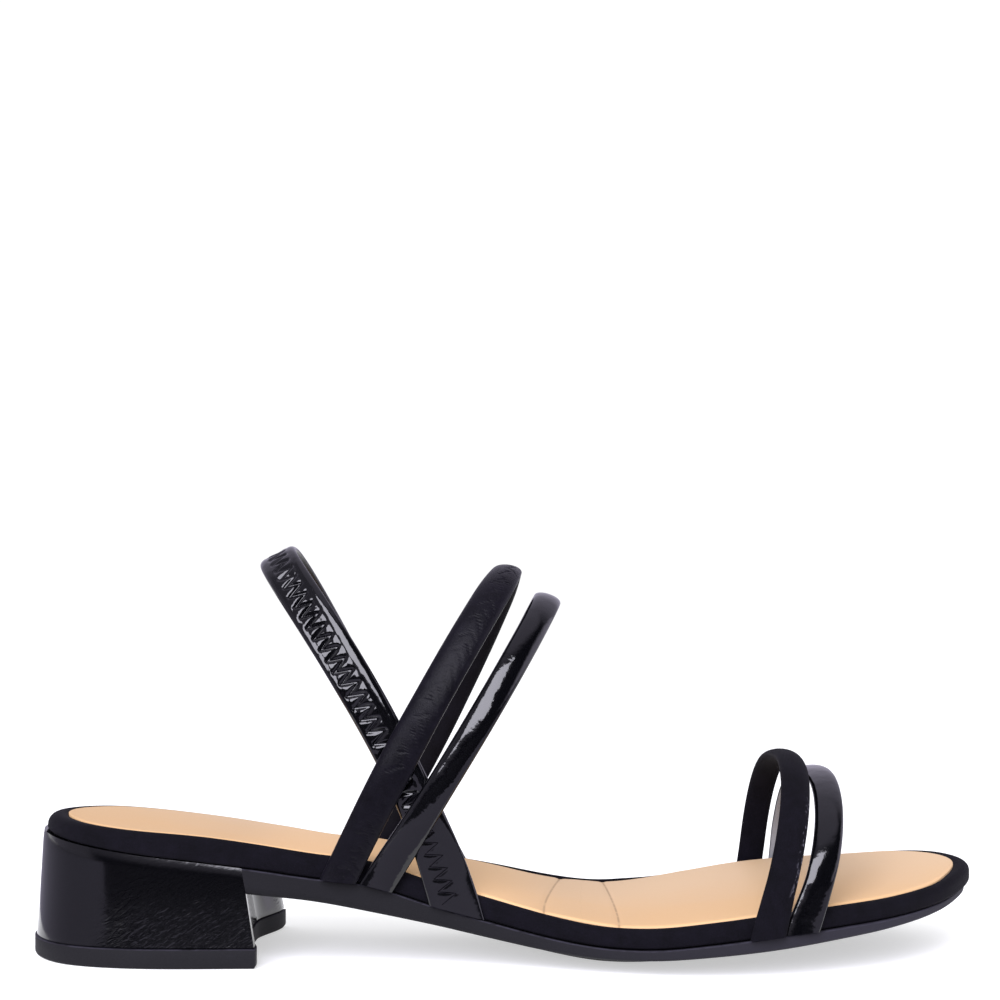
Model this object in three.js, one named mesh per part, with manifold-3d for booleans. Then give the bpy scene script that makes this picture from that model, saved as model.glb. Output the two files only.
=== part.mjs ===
// Block heel sandal, right shoe, in millimetres.
// +Z is up, +X points to the toe, -Y is the outer side of the foot and +Y the inner side.
// The origin is the middle of the heel lift's underside, on the floor.
import * as THREE from "three";
import { mergeVertices } from "three/addons/utils/BufferGeometryUtils.js";
import Module from "manifold-3d";

const wasm = await Module();
wasm.setup();

// Sole and footbed
const SOLE_LENGTH = 246.5; // back of the heel seat to the toe tip
const BALL_WIDTH = 76; // widest place of the footbed
const HEEL_SEAT_WIDTH = 52;
const FOREFOOT_SEAM = 6.3; // height of the sole seam at the ball, on the outer side
const HEEL_RISE = 26.1; // how much higher the seam lies at the back of the heel
const TOE_SPRING = 9.7; // how much higher it lies at the toe tip
const INNER_RAISE = 2; // the arch side of the footbed lies higher than the outer side
const FOOTBED_DIP = 2.6; // the footbed sinks this much between its edges at the ball
const RIM_HEIGHT = 6; // wrapped rim of the footbed, above the seam
const RIM_BORDER = 2.6; // width of the rim seen from above
const RIM_ROUNDING = 2.2;
const BACK_BORDER = 3.6; // behind the heel the rim is this much wider
const BACK_ROUNDING = 1.3; // and is rounded this much more
const BACK_SET = 1; // and stands this much inside the heel
const RECESS_DEPTH = 2; // seat of the insole in the rim
const PAD_RISE = 0.7; // how much the insole stands above the rim
const PAD_DIP_SHARE = 0.45; // share of the footbed's dip that the padding leaves to be seen
const OUTSOLE_EDGE = 3; // thickness of the outsole's side at the ball
const OUTSOLE_LEDGE = 0.9; // how far the outsole stands out under the rim
const OUTSOLE_ROUNDING = 1.3;
const TREAD_CROWN = 5.9; // the tread bulges this much below its edges at the ball

// Heel
const HEEL_LENGTH = 61.8; // underside of the lift, back to the corners of its front
const LIFT_THICKNESS = 5;
const LIFT_OVERHANG = 0.4; // the lift stands out past the covered block
const HEEL_FLARE = 1.8; // the block grows this much outwards to its foot
const BREAST_LEAN = 3.2; // the front of the block stands this much further forward at its foot
const BREAST_HOLLOW = 4.8; // depth of the curve in the front of the block

// Straps: widths, thicknesses and heights of the loops over the floor
const VAMP_REAR_WIDTH = 7.1;
const VAMP_REAR_HEIGHT = 50.6;
const VAMP_FRONT_WIDTH = 6.5;
const VAMP_FRONT_HEIGHT = 46.6;
const INSTEP_REAR_WIDTH = 8.2;
const INSTEP_REAR_HEIGHT = 99.4;
const INSTEP_FRONT_WIDTH = 6.6;
const INSTEP_FRONT_HEIGHT = 92.2;
const SUEDE_STRAP_THICKNESS = 2.6;
const PATENT_STRAP_THICKNESS = 2.2;
const SLING_WIDTH = 10.2;
const SLING_HEIGHT = 103.4;
const SLING_THICKNESS = 1.9;
const STRAP_TUCK = 5; // length of strap that is trimmed off along the sole seam

// Foot between the legs of the instep and sling straps
const ANKLE_HALF_OUTER = 29.5;
const ANKLE_HALF_INNER = 28;
const ANKLE_REACH = 34; // height over the seam at which the straps have this spread

// Clearances
const SEAT_GAP = 0.3; // between pieces that meet
const SEWN_DEPTH = 0.3; // the sling is sewn this deep to the straps that it passes under

// Fineness of the facets
const OUTLINE_STEPS = 36; // along each side of the sole
const STRAP_STEPS = 30;
const STRAP_SECTION_POINTS = 12;

// Outline of the footbed: shares of the length, and of the local width on either side of the axis.
const OUTLINE = [
  { along: 0, outer: 0, inner: 0 },
  { along: 0.02, outer: 0.28, inner: 0.28 },
  { along: 0.05, outer: 0.408, inner: 0.408 },
  { along: 0.1, outer: 0.485, inner: 0.485 },
  { along: 0.16, outer: 0.508, inner: 0.505 },
  { along: 0.25, outer: 0.488, inner: 0.474 },
  { along: 0.35, outer: 0.42, inner: 0.362 },
  { along: 0.45, outer: 0.38, inner: 0.3 },
  { along: 0.52, outer: 0.394, inner: 0.308 },
  { along: 0.6, outer: 0.45, inner: 0.378 },
  { along: 0.66, outer: 0.492, inner: 0.448 },
  { along: 0.72, outer: 0.504, inner: 0.496 },
  { along: 0.78, outer: 0.482, inner: 0.518 },
  { along: 0.84, outer: 0.422, inner: 0.508 },
  { along: 0.9, outer: 0.326, inner: 0.46 },
  { along: 0.95, outer: 0.205, inner: 0.38 },
  { along: 0.98, outer: 0.085, inner: 0.285 },
  { along: 1, outer: -0.105, inner: 0.105 },
];

// Side view of the sole, each column a share of the size that it follows:
// heel of HEEL_RISE, toe of TOE_SPRING, rim of RIM_HEIGHT, pad of PAD_RISE, edge of OUTSOLE_EDGE,
// raise of INNER_RAISE, dip of FOOTBED_DIP and crown of TREAD_CROWN.
const PROFILE = [
  { along: 0, heel: 1, toe: 0, rim: 0.76, pad: 0.3, edge: 2.1, raise: 0, dip: 0, crown: 0.1 },
  { along: 0.056, heel: 0.914, toe: 0, rim: 0.88, pad: 0.3, edge: 2.1, raise: 0, dip: 0.25, crown: 0.1 },
  { along: 0.113, heel: 0.837, toe: 0, rim: 1, pad: 0.3, edge: 2.1, raise: -0.3, dip: 0.4, crown: 0.1 },
  { along: 0.182, heel: 0.759, toe: 0, rim: 1.1, pad: 0.3, edge: 2.1, raise: -0.7, dip: 0.4, crown: 0.15 },
  { along: 0.239, heel: 0.689, toe: 0, rim: 1.07, pad: 0.3, edge: 2.07, raise: -0.75, dip: 0.35, crown: 0.2 },
  { along: 0.296, heel: 0.607, toe: 0, rim: 1.03, pad: 0.3, edge: 1.9, raise: -0.6, dip: 0.3, crown: 0.22 },
  { along: 0.356, heel: 0.479, toe: 0, rim: 1, pad: 0.4, edge: 1.7, raise: -0.1, dip: 0.35, crown: 0.25 },
  { along: 0.418, heel: 0.331, toe: 0, rim: 1, pad: 0.6, edge: 1.43, raise: 0.5, dip: 0.45, crown: 0.32 },
  { along: 0.478, heel: 0.198, toe: 0, rim: 0.97, pad: 0.8, edge: 1.33, raise: 0.95, dip: 0.6, crown: 0.5 },
  { along: 0.539, heel: 0.07, toe: 0, rim: 0.92, pad: 0.8, edge: 1.1, raise: 0.9, dip: 0.85, crown: 0.8 },
  { along: 0.592, heel: 0.006, toe: 0, rim: 0.87, pad: 0.9, edge: 0.92, raise: 0.75, dip: 1, crown: 1 },
  { along: 0.641, heel: 0, toe: 0.015, rim: 0.87, pad: 1, edge: 0.88, raise: 0.7, dip: 1, crown: 1 },
  { along: 0.702, heel: 0, toe: 0.19, rim: 0.88, pad: 1, edge: 1, raise: 0.7, dip: 0.95, crown: 0.86 },
  { along: 0.762, heel: 0, toe: 0.38, rim: 0.88, pad: 1, edge: 1.1, raise: 0.8, dip: 0.8, crown: 0.74 },
  { along: 0.823, heel: 0, toe: 0.52, rim: 0.87, pad: 1, edge: 0.95, raise: 0.9, dip: 0.6, crown: 0.6 },
  { along: 0.884, heel: 0, toe: 0.64, rim: 0.83, pad: 1, edge: 0.78, raise: 1, dip: 0.4, crown: 0.44 },
  { along: 0.937, heel: 0, toe: 0.78, rim: 0.83, pad: 0.8, edge: 0.7, raise: 0.8, dip: 0.2, crown: 0.3 },
  { along: 0.977, heel: 0, toe: 0.92, rim: 0.85, pad: 0.5, edge: 0.65, raise: 0.35, dip: 0.08, crown: 0.15 },
  { along: 1, heel: 0, toe: 1, rim: 0.84, pad: 0.3, edge: 0.65, raise: 0, dip: 0, crown: 0.1 },
];

// Loops of the straps. The feet are shares of SOLE_LENGTH from the back of the heel seat.
// apexAlong and height place the top of the loop's middle line. apexSide moves it inwards, as a
// share of BALL_WIDTH. bow bends a leg forwards, as a share of the loop's height, and straight is
// the share of the height where the legs stay straight. spread widens the outer foot, and level
// is how far the band lies level at the apex.
const STRAPS = {
  vamp_strap_rear: {
    width: VAMP_REAR_WIDTH,
    thickness: SUEDE_STRAP_THICKNESS,
    height: VAMP_REAR_HEIGHT,
    outerFoot: 0.752,
    innerFoot: 0.781,
    apexAlong: 0.796,
    apexSide: 0.02,
    bowOuter: -0.01,
    bowInner: 0.018,
    straight: 0.3,
    spread: 1.28,
    level: 0.8,
    atAnkle: 0,
    overSling: 0,
  },
  vamp_strap_front: {
    width: VAMP_FRONT_WIDTH,
    thickness: PATENT_STRAP_THICKNESS,
    height: VAMP_FRONT_HEIGHT,
    outerFoot: 0.794,
    innerFoot: 0.818,
    apexAlong: 0.828,
    apexSide: 0.026,
    bowOuter: 0.006,
    bowInner: 0.01,
    straight: 0.3,
    spread: 1.28,
    level: 0.6,
    atAnkle: 0,
    overSling: 0,
  },
  instep_strap_rear: {
    width: INSTEP_REAR_WIDTH,
    thickness: SUEDE_STRAP_THICKNESS,
    height: INSTEP_REAR_HEIGHT,
    outerFoot: 0.324,
    innerFoot: 0.334,
    apexAlong: 0.498,
    apexSide: 0,
    bowOuter: -0.008,
    bowInner: 0.024,
    straight: 0.5,
    spread: 1.15,
    level: 0.2,
    atAnkle: 1,
    overSling: 1,
  },
  instep_strap_front: {
    width: INSTEP_FRONT_WIDTH,
    thickness: PATENT_STRAP_THICKNESS,
    height: INSTEP_FRONT_HEIGHT,
    outerFoot: 0.362,
    innerFoot: 0.366,
    apexAlong: 0.541,
    apexSide: 0,
    bowOuter: 0.022,
    bowInner: 0.025,
    straight: 0.5,
    spread: 1.15,
    level: 0.2,
    atAnkle: 1,
    overSling: 1,
  },
  sling_strap: {
    width: SLING_WIDTH,
    thickness: SLING_THICKNESS,
    height: SLING_HEIGHT,
    outerFoot: 0.445,
    innerFoot: 0.436,
    apexAlong: 0.25,
    apexSide: 0,
    bowOuter: 0.075,
    bowInner: -0.006,
    straight: 0.6,
    spread: 1.12,
    level: 0,
    atAnkle: 1,
    overSling: 0,
  },
};

// Where the feet of crossing straps have left the rim, as a share of the loop's height.
const LAYER_SHARE = 0.25;
const FOOT_THINNING = 0.75; // the ends of a strap are pared down to this share of its thickness

// Places along the sole that follow from the sizes
const heelSeatBack = -HEEL_LENGTH / 2 + LIFT_OVERHANG + HEEL_FLARE;
const blockFoot = LIFT_THICKNESS + SEAT_GAP;
const breastFoot = HEEL_LENGTH / 2 - LIFT_OVERHANG;

function clamp(value, low, high) {
  return Math.min(high, Math.max(low, value));
}

function smooth(low, high, value) {
  const share = clamp((value - low) / (high - low), 0, 1);
  return share * share * (3 - 2 * share);
}

// The ends of the outline are round, so its widths are read by this angle share instead of the length.
function roundShare(along) {
  return Math.acos(1 - 2 * clamp(along, 0, 1)) / Math.PI;
}

function alongOf(round) {
  return (1 - Math.cos(Math.PI * round)) / 2;
}

// A smooth curve through one column of a table, read at a share of the length.
function columnCurve(table, column, warp = (value) => value) {
  const places = table.map((row) => warp(row.along));
  const values = table.map((row) => row[column]);
  const last = places.length - 1;
  const slope = (i) => {
    const before = Math.max(0, i - 1);
    const after = Math.min(last, i + 1);
    return (values[after] - values[before]) / (places[after] - places[before]);
  };
  return (along) => {
    const place = warp(clamp(along, 0, 1));
    let i = 0;
    while (i < last - 1 && place > places[i + 1]) i += 1;
    const span = places[i + 1] - places[i];
    const u = (place - places[i]) / span;
    const u2 = u * u;
    const u3 = u2 * u;
    const start = (2 * u3 - 3 * u2 + 1) * values[i] + (u3 - 2 * u2 + u) * span * slope(i);
    return start + (3 * u2 - 2 * u3) * values[i + 1] + (u3 - u2) * span * slope(i + 1);
  };
}

const outerShare = columnCurve(OUTLINE, "outer", roundShare);
const innerShare = columnCurve(OUTLINE, "inner", roundShare);
const heelShare = columnCurve(PROFILE, "heel");
const toeShare = columnCurve(PROFILE, "toe");
const rimShare = columnCurve(PROFILE, "rim");
const padShare = columnCurve(PROFILE, "pad");
const edgeShare = columnCurve(PROFILE, "edge");
const raiseShare = columnCurve(PROFILE, "raise");
const dipShare = columnCurve(PROFILE, "dip");
const crownShare = columnCurve(PROFILE, "crown");

// The last: half widths on either side of the axis, and heights of the sole and footbed.

function localWidth(along) {
  return HEEL_SEAT_WIDTH + (BALL_WIDTH - HEEL_SEAT_WIDTH) * smooth(0.2, 0.6, along);
}

function outerHalf(along) {
  return localWidth(along) * outerShare(along);
}

function innerHalf(along) {
  return localWidth(along) * innerShare(along);
}

function alongAt(x) {
  return clamp((x - heelSeatBack) / SOLE_LENGTH, 0, 1);
}

// -1 at the outer edge of the footbed, 1 at its inner edge.
function acrossAt(along, y) {
  const middle = (innerHalf(along) - outerHalf(along)) / 2;
  const half = Math.max((innerHalf(along) + outerHalf(along)) / 2, HEEL_SEAT_WIDTH / 8);
  return clamp((y - middle) / half, -1, 1);
}

function seamEdge(along, across) {
  const rise = HEEL_RISE * heelShare(along) + TOE_SPRING * toeShare(along);
  return FOREFOOT_SEAM + rise + INNER_RAISE * raiseShare(along) * (across + 1) * 0.5;
}

// The seam between the outsole or the heel and the footbed.
function seamHeight(x, y) {
  const along = alongAt(x);
  const across = acrossAt(along, y);
  return seamEdge(along, across) - FOOTBED_DIP * dipShare(along) * (1 - across * across);
}

const CROWN_POWER = 1.35; // above 1 the tread is flatter at its edges than a circle

function treadHeight(x, y) {
  const along = alongAt(x);
  const across = acrossAt(along, y);
  const edge = seamEdge(along, across) - OUTSOLE_EDGE * edgeShare(along);
  const bulge = (1 - across * across) ** CROWN_POWER;
  return Math.max(0, edge - TREAD_CROWN * crownShare(along) * bulge);
}

function rimTop(x, y) {
  return seamHeight(x, y) + RIM_HEIGHT * rimShare(alongAt(x));
}

function insoleTop(x, y) {
  const along = alongAt(x);
  const across = acrossAt(along, y);
  const pad = PAD_RISE * padShare(along) * (1 - across ** 6);
  const dip = FOOTBED_DIP * dipShare(along) * PAD_DIP_SHARE * (1 - across * across);
  return seamEdge(along, across) + RIM_HEIGHT * rimShare(along) + pad - dip;
}

// The outline as a loop of points, counterclockwise from above, starting at the back of the heel.
// inset, a size or a function of the place along the sole, moves it inwards.
// Point i and point -i lie at one share of the length.
function outlineLoop(inset) {
  const insetAt = typeof inset === "function" ? inset : () => inset;
  const count = 2 * OUTLINE_STEPS;
  const base = [];
  for (let i = 0; i < count; i += 1) {
    const outer = i <= OUTLINE_STEPS;
    const along = alongOf((outer ? i : count - i) / OUTLINE_STEPS);
    const y = outer ? -outerHalf(along) : innerHalf(along);
    base.push(new THREE.Vector2(heelSeatBack + SOLE_LENGTH * along, y));
  }
  return moveInwards(base, (x) => insetAt(alongAt(x)));
}

function moveInwards(loop, insetAt) {
  return loop.map((point, i) => {
    const inset = insetAt(point.x);
    const before = loop[(i + loop.length - 1) % loop.length];
    const after = loop[(i + 1) % loop.length];
    const way = after.clone().sub(before).normalize();
    return new THREE.Vector2(point.x - way.y * inset, point.y + way.x * inset);
  });
}

function ringAt(loop, heightAt) {
  return loop.map((point) => new THREE.Vector3(point.x, point.y, heightAt(point.x, point.y)));
}

// Rings that close a loop over its middle line, from the loop inwards.
// The middle line goes no further forwards than reach.
function closingRings(loop, shares, heightAt, reach = Infinity) {
  return shares.map((share) => {
    const inner = loop.map((point, i) => {
      const twin = loop[(loop.length - i) % loop.length];
      const middle = point.clone().add(twin).multiplyScalar(0.5);
      middle.x = Math.min(middle.x, reach);
      return point.clone().lerp(middle, share);
    });
    return ringAt(inner, heightAt);
  });
}

// A closed surface through a stack of rings. The end rings are caps or have folded together.
function ringsGeometry(rings, capped) {
  const count = rings[0].length;
  const positions = rings.flatMap((ring) => ring.flatMap((point) => [point.x, point.y, point.z]));
  const faces = [];
  for (let k = 0; k + 1 < rings.length; k += 1) {
    for (let i = 0; i < count; i += 1) {
      const here = k * count + i;
      const next = k * count + ((i + 1) % count);
      faces.push([here, next, next + count], [here, next + count, here + count]);
    }
  }
  if (capped) {
    const top = (rings.length - 1) * count;
    for (let i = 1; i + 1 < count; i += 1) {
      faces.push([0, i + 1, i], [top, top + i, top + i + 1]);
    }
  }
  const loose = new THREE.BufferGeometry();
  loose.setAttribute("position", new THREE.Float32BufferAttribute(positions, 3));
  loose.setIndex(faces.flat());
  return withoutEmptyFaces(mergeVertices(loose));
}

function withoutEmptyFaces(geometry) {
  const kept = [];
  const index = geometry.index.array;
  for (let i = 0; i < index.length; i += 3) {
    const [a, b, c] = [index[i], index[i + 1], index[i + 2]];
    if (a !== b && b !== c && c !== a) kept.push(a, b, c);
  }
  geometry.setIndex(kept);
  return geometry;
}

function toSolid(geometry) {
  const plain = geometry.index ? geometry : mergeVertices(geometry);
  return new wasm.Manifold(
    new wasm.Mesh({
      numProp: 3,
      vertProperties: plain.attributes.position.array,
      triVerts: new Uint32Array(plain.index.array),
    }),
  );
}

function toGeometry(solid) {
  const mesh = solid.getMesh();
  const geometry = new THREE.BufferGeometry();
  geometry.setAttribute("position", new THREE.BufferAttribute(mesh.vertProperties, 3));
  geometry.setIndex(new THREE.BufferAttribute(mesh.triVerts, 1));
  geometry.computeVertexNormals();
  return geometry;
}

// Heel: the back follows the footbed's outline, the front is a leaning face with a hollow.

function breastAt(z) {
  const top = seamEdge(alongAt(breastFoot), 0);
  return breastFoot - (BREAST_LEAN * (z - blockFoot)) / (top - blockFoot);
}

const HEEL_SIDE_STEPS = 15;
const BREAST_STEPS = 14;
const HOLLOW_FROM = 0.25; // half-width shares between which the hollow of the front runs out
const HOLLOW_TO = 0.85;

function heelLoop(z, grow, frontGrow) {
  const corner = breastAt(z);
  const cornerRound = roundShare(alongAt(corner));
  const sideAlong = (i) => alongOf((cornerRound * i) / HEEL_SIDE_STEPS);
  const outerSide = [];
  const innerSide = [];
  for (let i = 0; i <= HEEL_SIDE_STEPS; i += 1) {
    const along = sideAlong(i);
    const x = heelSeatBack + SOLE_LENGTH * along;
    outerSide.push(new THREE.Vector2(x, -outerHalf(along)));
    if (i > 0) innerSide.unshift(new THREE.Vector2(x, innerHalf(along)));
  }
  const sides = moveInwards([...outerSide, ...innerSide], () => -grow);
  const outer = -outerHalf(alongAt(corner));
  const inner = innerHalf(alongAt(corner));
  sides[HEEL_SIDE_STEPS].set(corner + frontGrow, outer - grow);
  sides[HEEL_SIDE_STEPS + 1].set(corner + frontGrow, inner + grow);
  const breast = [];
  for (let j = 1; j < BREAST_STEPS; j += 1) {
    const share = j / BREAST_STEPS;
    const hollow = 1 - smooth(HOLLOW_FROM, HOLLOW_TO, Math.abs(2 * share - 1));
    const x = corner + frontGrow - BREAST_HOLLOW * hollow;
    breast.push(new THREE.Vector2(x, outer + (inner - outer) * share));
  }
  return [
    ...sides.slice(0, HEEL_SIDE_STEPS + 1),
    ...breast,
    ...sides.slice(HEEL_SIDE_STEPS + 1),
  ];
}

const CLOSING = [0.34, 0.67, 1];
const FLARE_LEVELS = [0, 0.12, 0.4, 0.7, 1];
const heelMiddleReach = breastFoot - 4 * BREAST_HOLLOW; // clear of the hollow in the front

function heelClosing(loop, heightAt) {
  return closingRings(loop, CLOSING, heightAt, heelMiddleReach);
}

function heelBlock() {
  const topAtBreast = seamEdge(alongAt(breastFoot), 0);
  const sides = FLARE_LEVELS.map((level) => {
    const flare = HEEL_FLARE * (1 - level ** 0.8);
    const loop = heelLoop(blockFoot + level * (topAtBreast - blockFoot), flare, 0);
    const heightAt = (x, y) => blockFoot + level * (seamHeight(x, y) - blockFoot);
    return { loop, ring: ringAt(loop, heightAt) };
  });
  const bottom = heelClosing(sides[0].loop, () => blockFoot).reverse();
  const top = heelClosing(sides[sides.length - 1].loop, seamHeight);
  return ringsGeometry([...bottom, ...sides.map((side) => side.ring), ...top], false);
}

const LIFT_ROUNDING = 0.6;

function heelLift() {
  const grow = HEEL_FLARE + LIFT_OVERHANG;
  const foot = heelLoop(blockFoot, grow - LIFT_ROUNDING, LIFT_OVERHANG - LIFT_ROUNDING);
  const full = heelLoop(blockFoot, grow, LIFT_OVERHANG);
  const level = (z) => () => z;
  return ringsGeometry(
    [
      ...heelClosing(foot, level(0)).reverse(),
      ringAt(foot, level(0)),
      ringAt(full, level(LIFT_ROUNDING)),
      ringAt(full, level(LIFT_THICKNESS)),
      ...heelClosing(full, level(LIFT_THICKNESS)),
    ],
    false,
  );
}

// Space that the heel takes from the outsole, with its clearance.
function heelClearance() {
  const roomAround = 2 * HEEL_FLARE + OUTSOLE_LEDGE;
  const low = heelLoop(0, roomAround, SEAT_GAP);
  const highest = FOREFOOT_SEAM + HEEL_RISE + RIM_HEIGHT;
  const high = heelLoop(highest, roomAround, SEAT_GAP);
  return ringsGeometry(
    [
      ...heelClosing(low, () => 0).reverse(),
      ringAt(low, () => 0),
      ringAt(high, () => highest),
      ...heelClosing(high, () => highest),
    ],
    false,
  );
}

// The outsole stands out under the rim, and at the toe it draws back under it.
function ledgeAt(along) {
  return OUTSOLE_LEDGE * (1 - 2 * smooth(0.86, 0.97, along));
}

// 1 behind the heel, where the rim is wider and rounder, 0 along the sides.
function behindHeel(along) {
  return 1 - smooth(0, 0.12, along);
}

function rimSet(along) {
  return BACK_SET * behindHeel(along);
}

function rimRounding(along) {
  return RIM_ROUNDING + BACK_ROUNDING * behindHeel(along);
}

function rimBorder(along) {
  return RIM_BORDER + BACK_BORDER * behindHeel(along);
}

const TREAD_CLOSING = [0.1, 0.25, 0.42, 0.6, 0.8, 1];
const FOOTBED_CLOSING = [0.25, 0.55, 1];

function outsole() {
  const round = OUTSOLE_ROUNDING;
  const tread = outlineLoop((along) => round - ledgeAt(along));
  const side = outlineLoop((along) => -ledgeAt(along));
  const between = (share) => (x, y) => {
    const low = treadHeight(x, y);
    return low + share * (seamHeight(x, y) - low);
  };
  const full = toSolid(
    ringsGeometry(
      [
        ...closingRings(tread, TREAD_CLOSING, treadHeight).reverse(),
        ringAt(tread, treadHeight),
        ringAt(side, between(0.35)),
        ringAt(side, between(1)),
        ...closingRings(side, FOOTBED_CLOSING, seamHeight),
      ],
      false,
    ),
  );
  return toGeometry(full.subtract(toSolid(heelClearance())));
}

// The rim, or with grow the space that it takes from the straps.
function footbedRim(grow) {
  const floor = (x, y) => rimTop(x, y) - RECESS_DEPTH;
  const lower = (x, y) => seamHeight(x, y) + SEAT_GAP - grow;
  const bottom = outlineLoop((along) => rimSet(along) + RIM_ROUNDING / 4 - grow);
  const side = outlineLoop((along) => rimSet(along) - grow);
  const border = outlineLoop(rimBorder);
  const roundedEdge = [0, 0.25, 0.5, 0.75, 1].map((share) => {
    const turn = (share * Math.PI) / 2;
    const inset = (along) => rimSet(along) + rimRounding(along) * (1 - Math.cos(turn)) - grow;
    const drop = (x) => rimRounding(alongAt(x)) * (1 - Math.sin(turn));
    return ringAt(outlineLoop(inset), (x, y) => rimTop(x, y) + grow - drop(x));
  });
  return ringsGeometry(
    [
      ...closingRings(bottom, FOOTBED_CLOSING, lower).reverse(),
      ringAt(bottom, lower),
      ringAt(side, (x, y) => lower(x, y) + RIM_ROUNDING / 4),
      ...roundedEdge,
      ringAt(border, rimTop),
      ringAt(border, floor),
      ...closingRings(border, FOOTBED_CLOSING, floor),
    ],
    false,
  );
}

const PAD_CLOSING = [0.12, 0.3, 0.5, 0.75, 1];

function insole() {
  const floor = (x, y) => rimTop(x, y) - RECESS_DEPTH + SEAT_GAP;
  const edge = outlineLoop((along) => rimBorder(along) + SEAT_GAP);
  const shoulder = outlineLoop((along) => rimBorder(along) + SEAT_GAP + PAD_RISE);
  const edgeTop = (x, y) => insoleTop(x, y) - PAD_RISE * padShare(alongAt(x));
  return ringsGeometry(
    [
      ...closingRings(edge, FOOTBED_CLOSING, floor).reverse(),
      ringAt(edge, floor),
      ringAt(edge, edgeTop),
      ringAt(shoulder, insoleTop),
      ...closingRings(shoulder, PAD_CLOSING, insoleTop),
    ],
    false,
  );
}

// Straps: each is swept along a loop that runs from its outer foot over the apex to its inner foot.

// Half width of the foot where a strap passes it, measured to the strap's inner face.
function footHalf(side, x, z, atAnkle) {
  const along = alongAt(x);
  const sole = (side < 0 ? outerHalf(along) : innerHalf(along)) + SEAT_GAP;
  const ankle = side < 0 ? ANKLE_HALF_OUTER : ANKLE_HALF_INNER;
  const overSeam = z - seamEdge(along, side);
  return sole + atAnkle * (ankle - sole) * smooth(0, ANKLE_REACH, overSeam);
}

// The middle line of a strap at u from 0, the outer foot, to 1, the inner foot.
function strapPoint(strap, u) {
  const side = u < 0.5 ? -1 : 1;
  const climb = 1 - Math.abs(2 * u - 1);
  const turnStart = strap.straight * 0.8;
  let height = (strap.straight * climb) / turnStart;
  let spread = 1;
  if (climb > turnStart) {
    const turn = ((climb - turnStart) / (1 - turnStart)) * (Math.PI / 2);
    height = strap.straight + (1 - strap.straight) * Math.sin(turn);
    spread = Math.cos(turn) ** 0.92;
  }
  const foot = side < 0 ? strap.outerFoot : strap.innerFoot;
  const bow = side < 0 ? strap.bowOuter : strap.bowInner;
  const footX = heelSeatBack + SOLE_LENGTH * foot;
  const footZ = seamEdge(foot, side);
  const apexX = heelSeatBack + SOLE_LENGTH * strap.apexAlong;
  const tall = strap.height - footZ;
  const x = footX + (apexX - footX) * height + bow * tall * 4 * height * (1 - height);
  const z = footZ + tall * height;
  const layer = strap.overSling * (SLING_THICKNESS - SEWN_DEPTH) * smooth(0, LAYER_SHARE, height);
  const half = footHalf(side, x, z, strap.atAnkle) + layer + strap.thickness / 2;
  const y = side * half * spread + strap.apexSide * BALL_WIDTH * (1 - spread);
  return new THREE.Vector3(x, y, z);
}

// The section is flat inside and crowned outside, with round edges.
function sectionPoint(angle, width, thickness) {
  const soft = (value) => Math.sign(value) * Math.abs(value) ** 0.55;
  const across = (soft(Math.sin(angle)) * width) / 2;
  const out = Math.cos(angle);
  const depth = (out > 0 ? out ** 0.9 : soft(out)) * (thickness / 2);
  return { across, depth };
}

function strapGeometry(strap) {
  const points = [];
  for (let k = 0; k <= STRAP_STEPS; k += 1) points.push(strapPoint(strap, k / STRAP_STEPS));
  const start = points[0].clone().sub(points[1]).setLength(STRAP_TUCK);
  const end = points[STRAP_STEPS].clone().sub(points[STRAP_STEPS - 1]).setLength(STRAP_TUCK);
  points.unshift(points[0].clone().add(start));
  points.push(points[points.length - 1].clone().add(end));
  const apex = strapPoint(strap, 0.5);
  const feet = strapPoint(strap, 0).add(strapPoint(strap, 1)).multiplyScalar(0.5);
  const climb = apex.clone().sub(feet).setY(0).normalize();
  const loopWay = new THREE.Vector3(0, 1, 0).cross(climb);
  const levelWay = new THREE.Vector3(Math.sign(loopWay.x), 0, 0);
  const rings = points.map((point, k) => {
    const before = points[Math.max(0, k - 1)];
    const after = points[Math.min(points.length - 1, k + 1)];
    const way = after.clone().sub(before).normalize();
    const place = clamp((k - 1) / STRAP_STEPS, 0, 1);
    const nearApex = smooth(0.25, 0, Math.abs(place - 0.5));
    const widthWay = loopWay.clone().lerp(levelWay, strap.level * nearApex);
    const out = widthWay.cross(way).normalize();
    const across = way.clone().cross(out);
    const nearFoot = 1 - smooth(0, 0.16, Math.min(place, 1 - place));
    const spread = place < 0.5 ? strap.spread : 1;
    const width = strap.width * (1 + (spread - 1) * nearFoot);
    const thickness = strap.thickness * (1 + (FOOT_THINNING - 1) * nearFoot);
    const ring = [];
    for (let i = 0; i < STRAP_SECTION_POINTS; i += 1) {
      const angle = (2 * Math.PI * i) / STRAP_SECTION_POINTS;
      const section = sectionPoint(angle, width, thickness);
      ring.push(
        point.clone().addScaledVector(across, section.across).addScaledVector(out, section.depth),
      );
    }
    return ring;
  });
  return ringsGeometry(rings, true);
}

// What lies under the sole seam, wider than the sole, to trim the feet of the straps.
function belowSeam() {
  const around = outlineLoop(-SLING_WIDTH);
  const side = outlineLoop((along) => -ledgeAt(along));
  const top = (x, y) => seamHeight(x, y) + SEAT_GAP;
  const floor = -SLING_WIDTH;
  return ringsGeometry(
    [
      ...closingRings(around, [1], () => floor).reverse(),
      ringAt(around, () => floor),
      ringAt(around, top),
      ringAt(side, top),
      ...closingRings(side, FOOTBED_CLOSING, top),
    ],
    false,
  );
}

const roomForRim = toSolid(footbedRim(SEAT_GAP));
const roomForSole = toSolid(belowSeam());

function strapSolid(name) {
  return toSolid(strapGeometry(STRAPS[name])).subtract(roomForRim).subtract(roomForSole);
}

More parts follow.
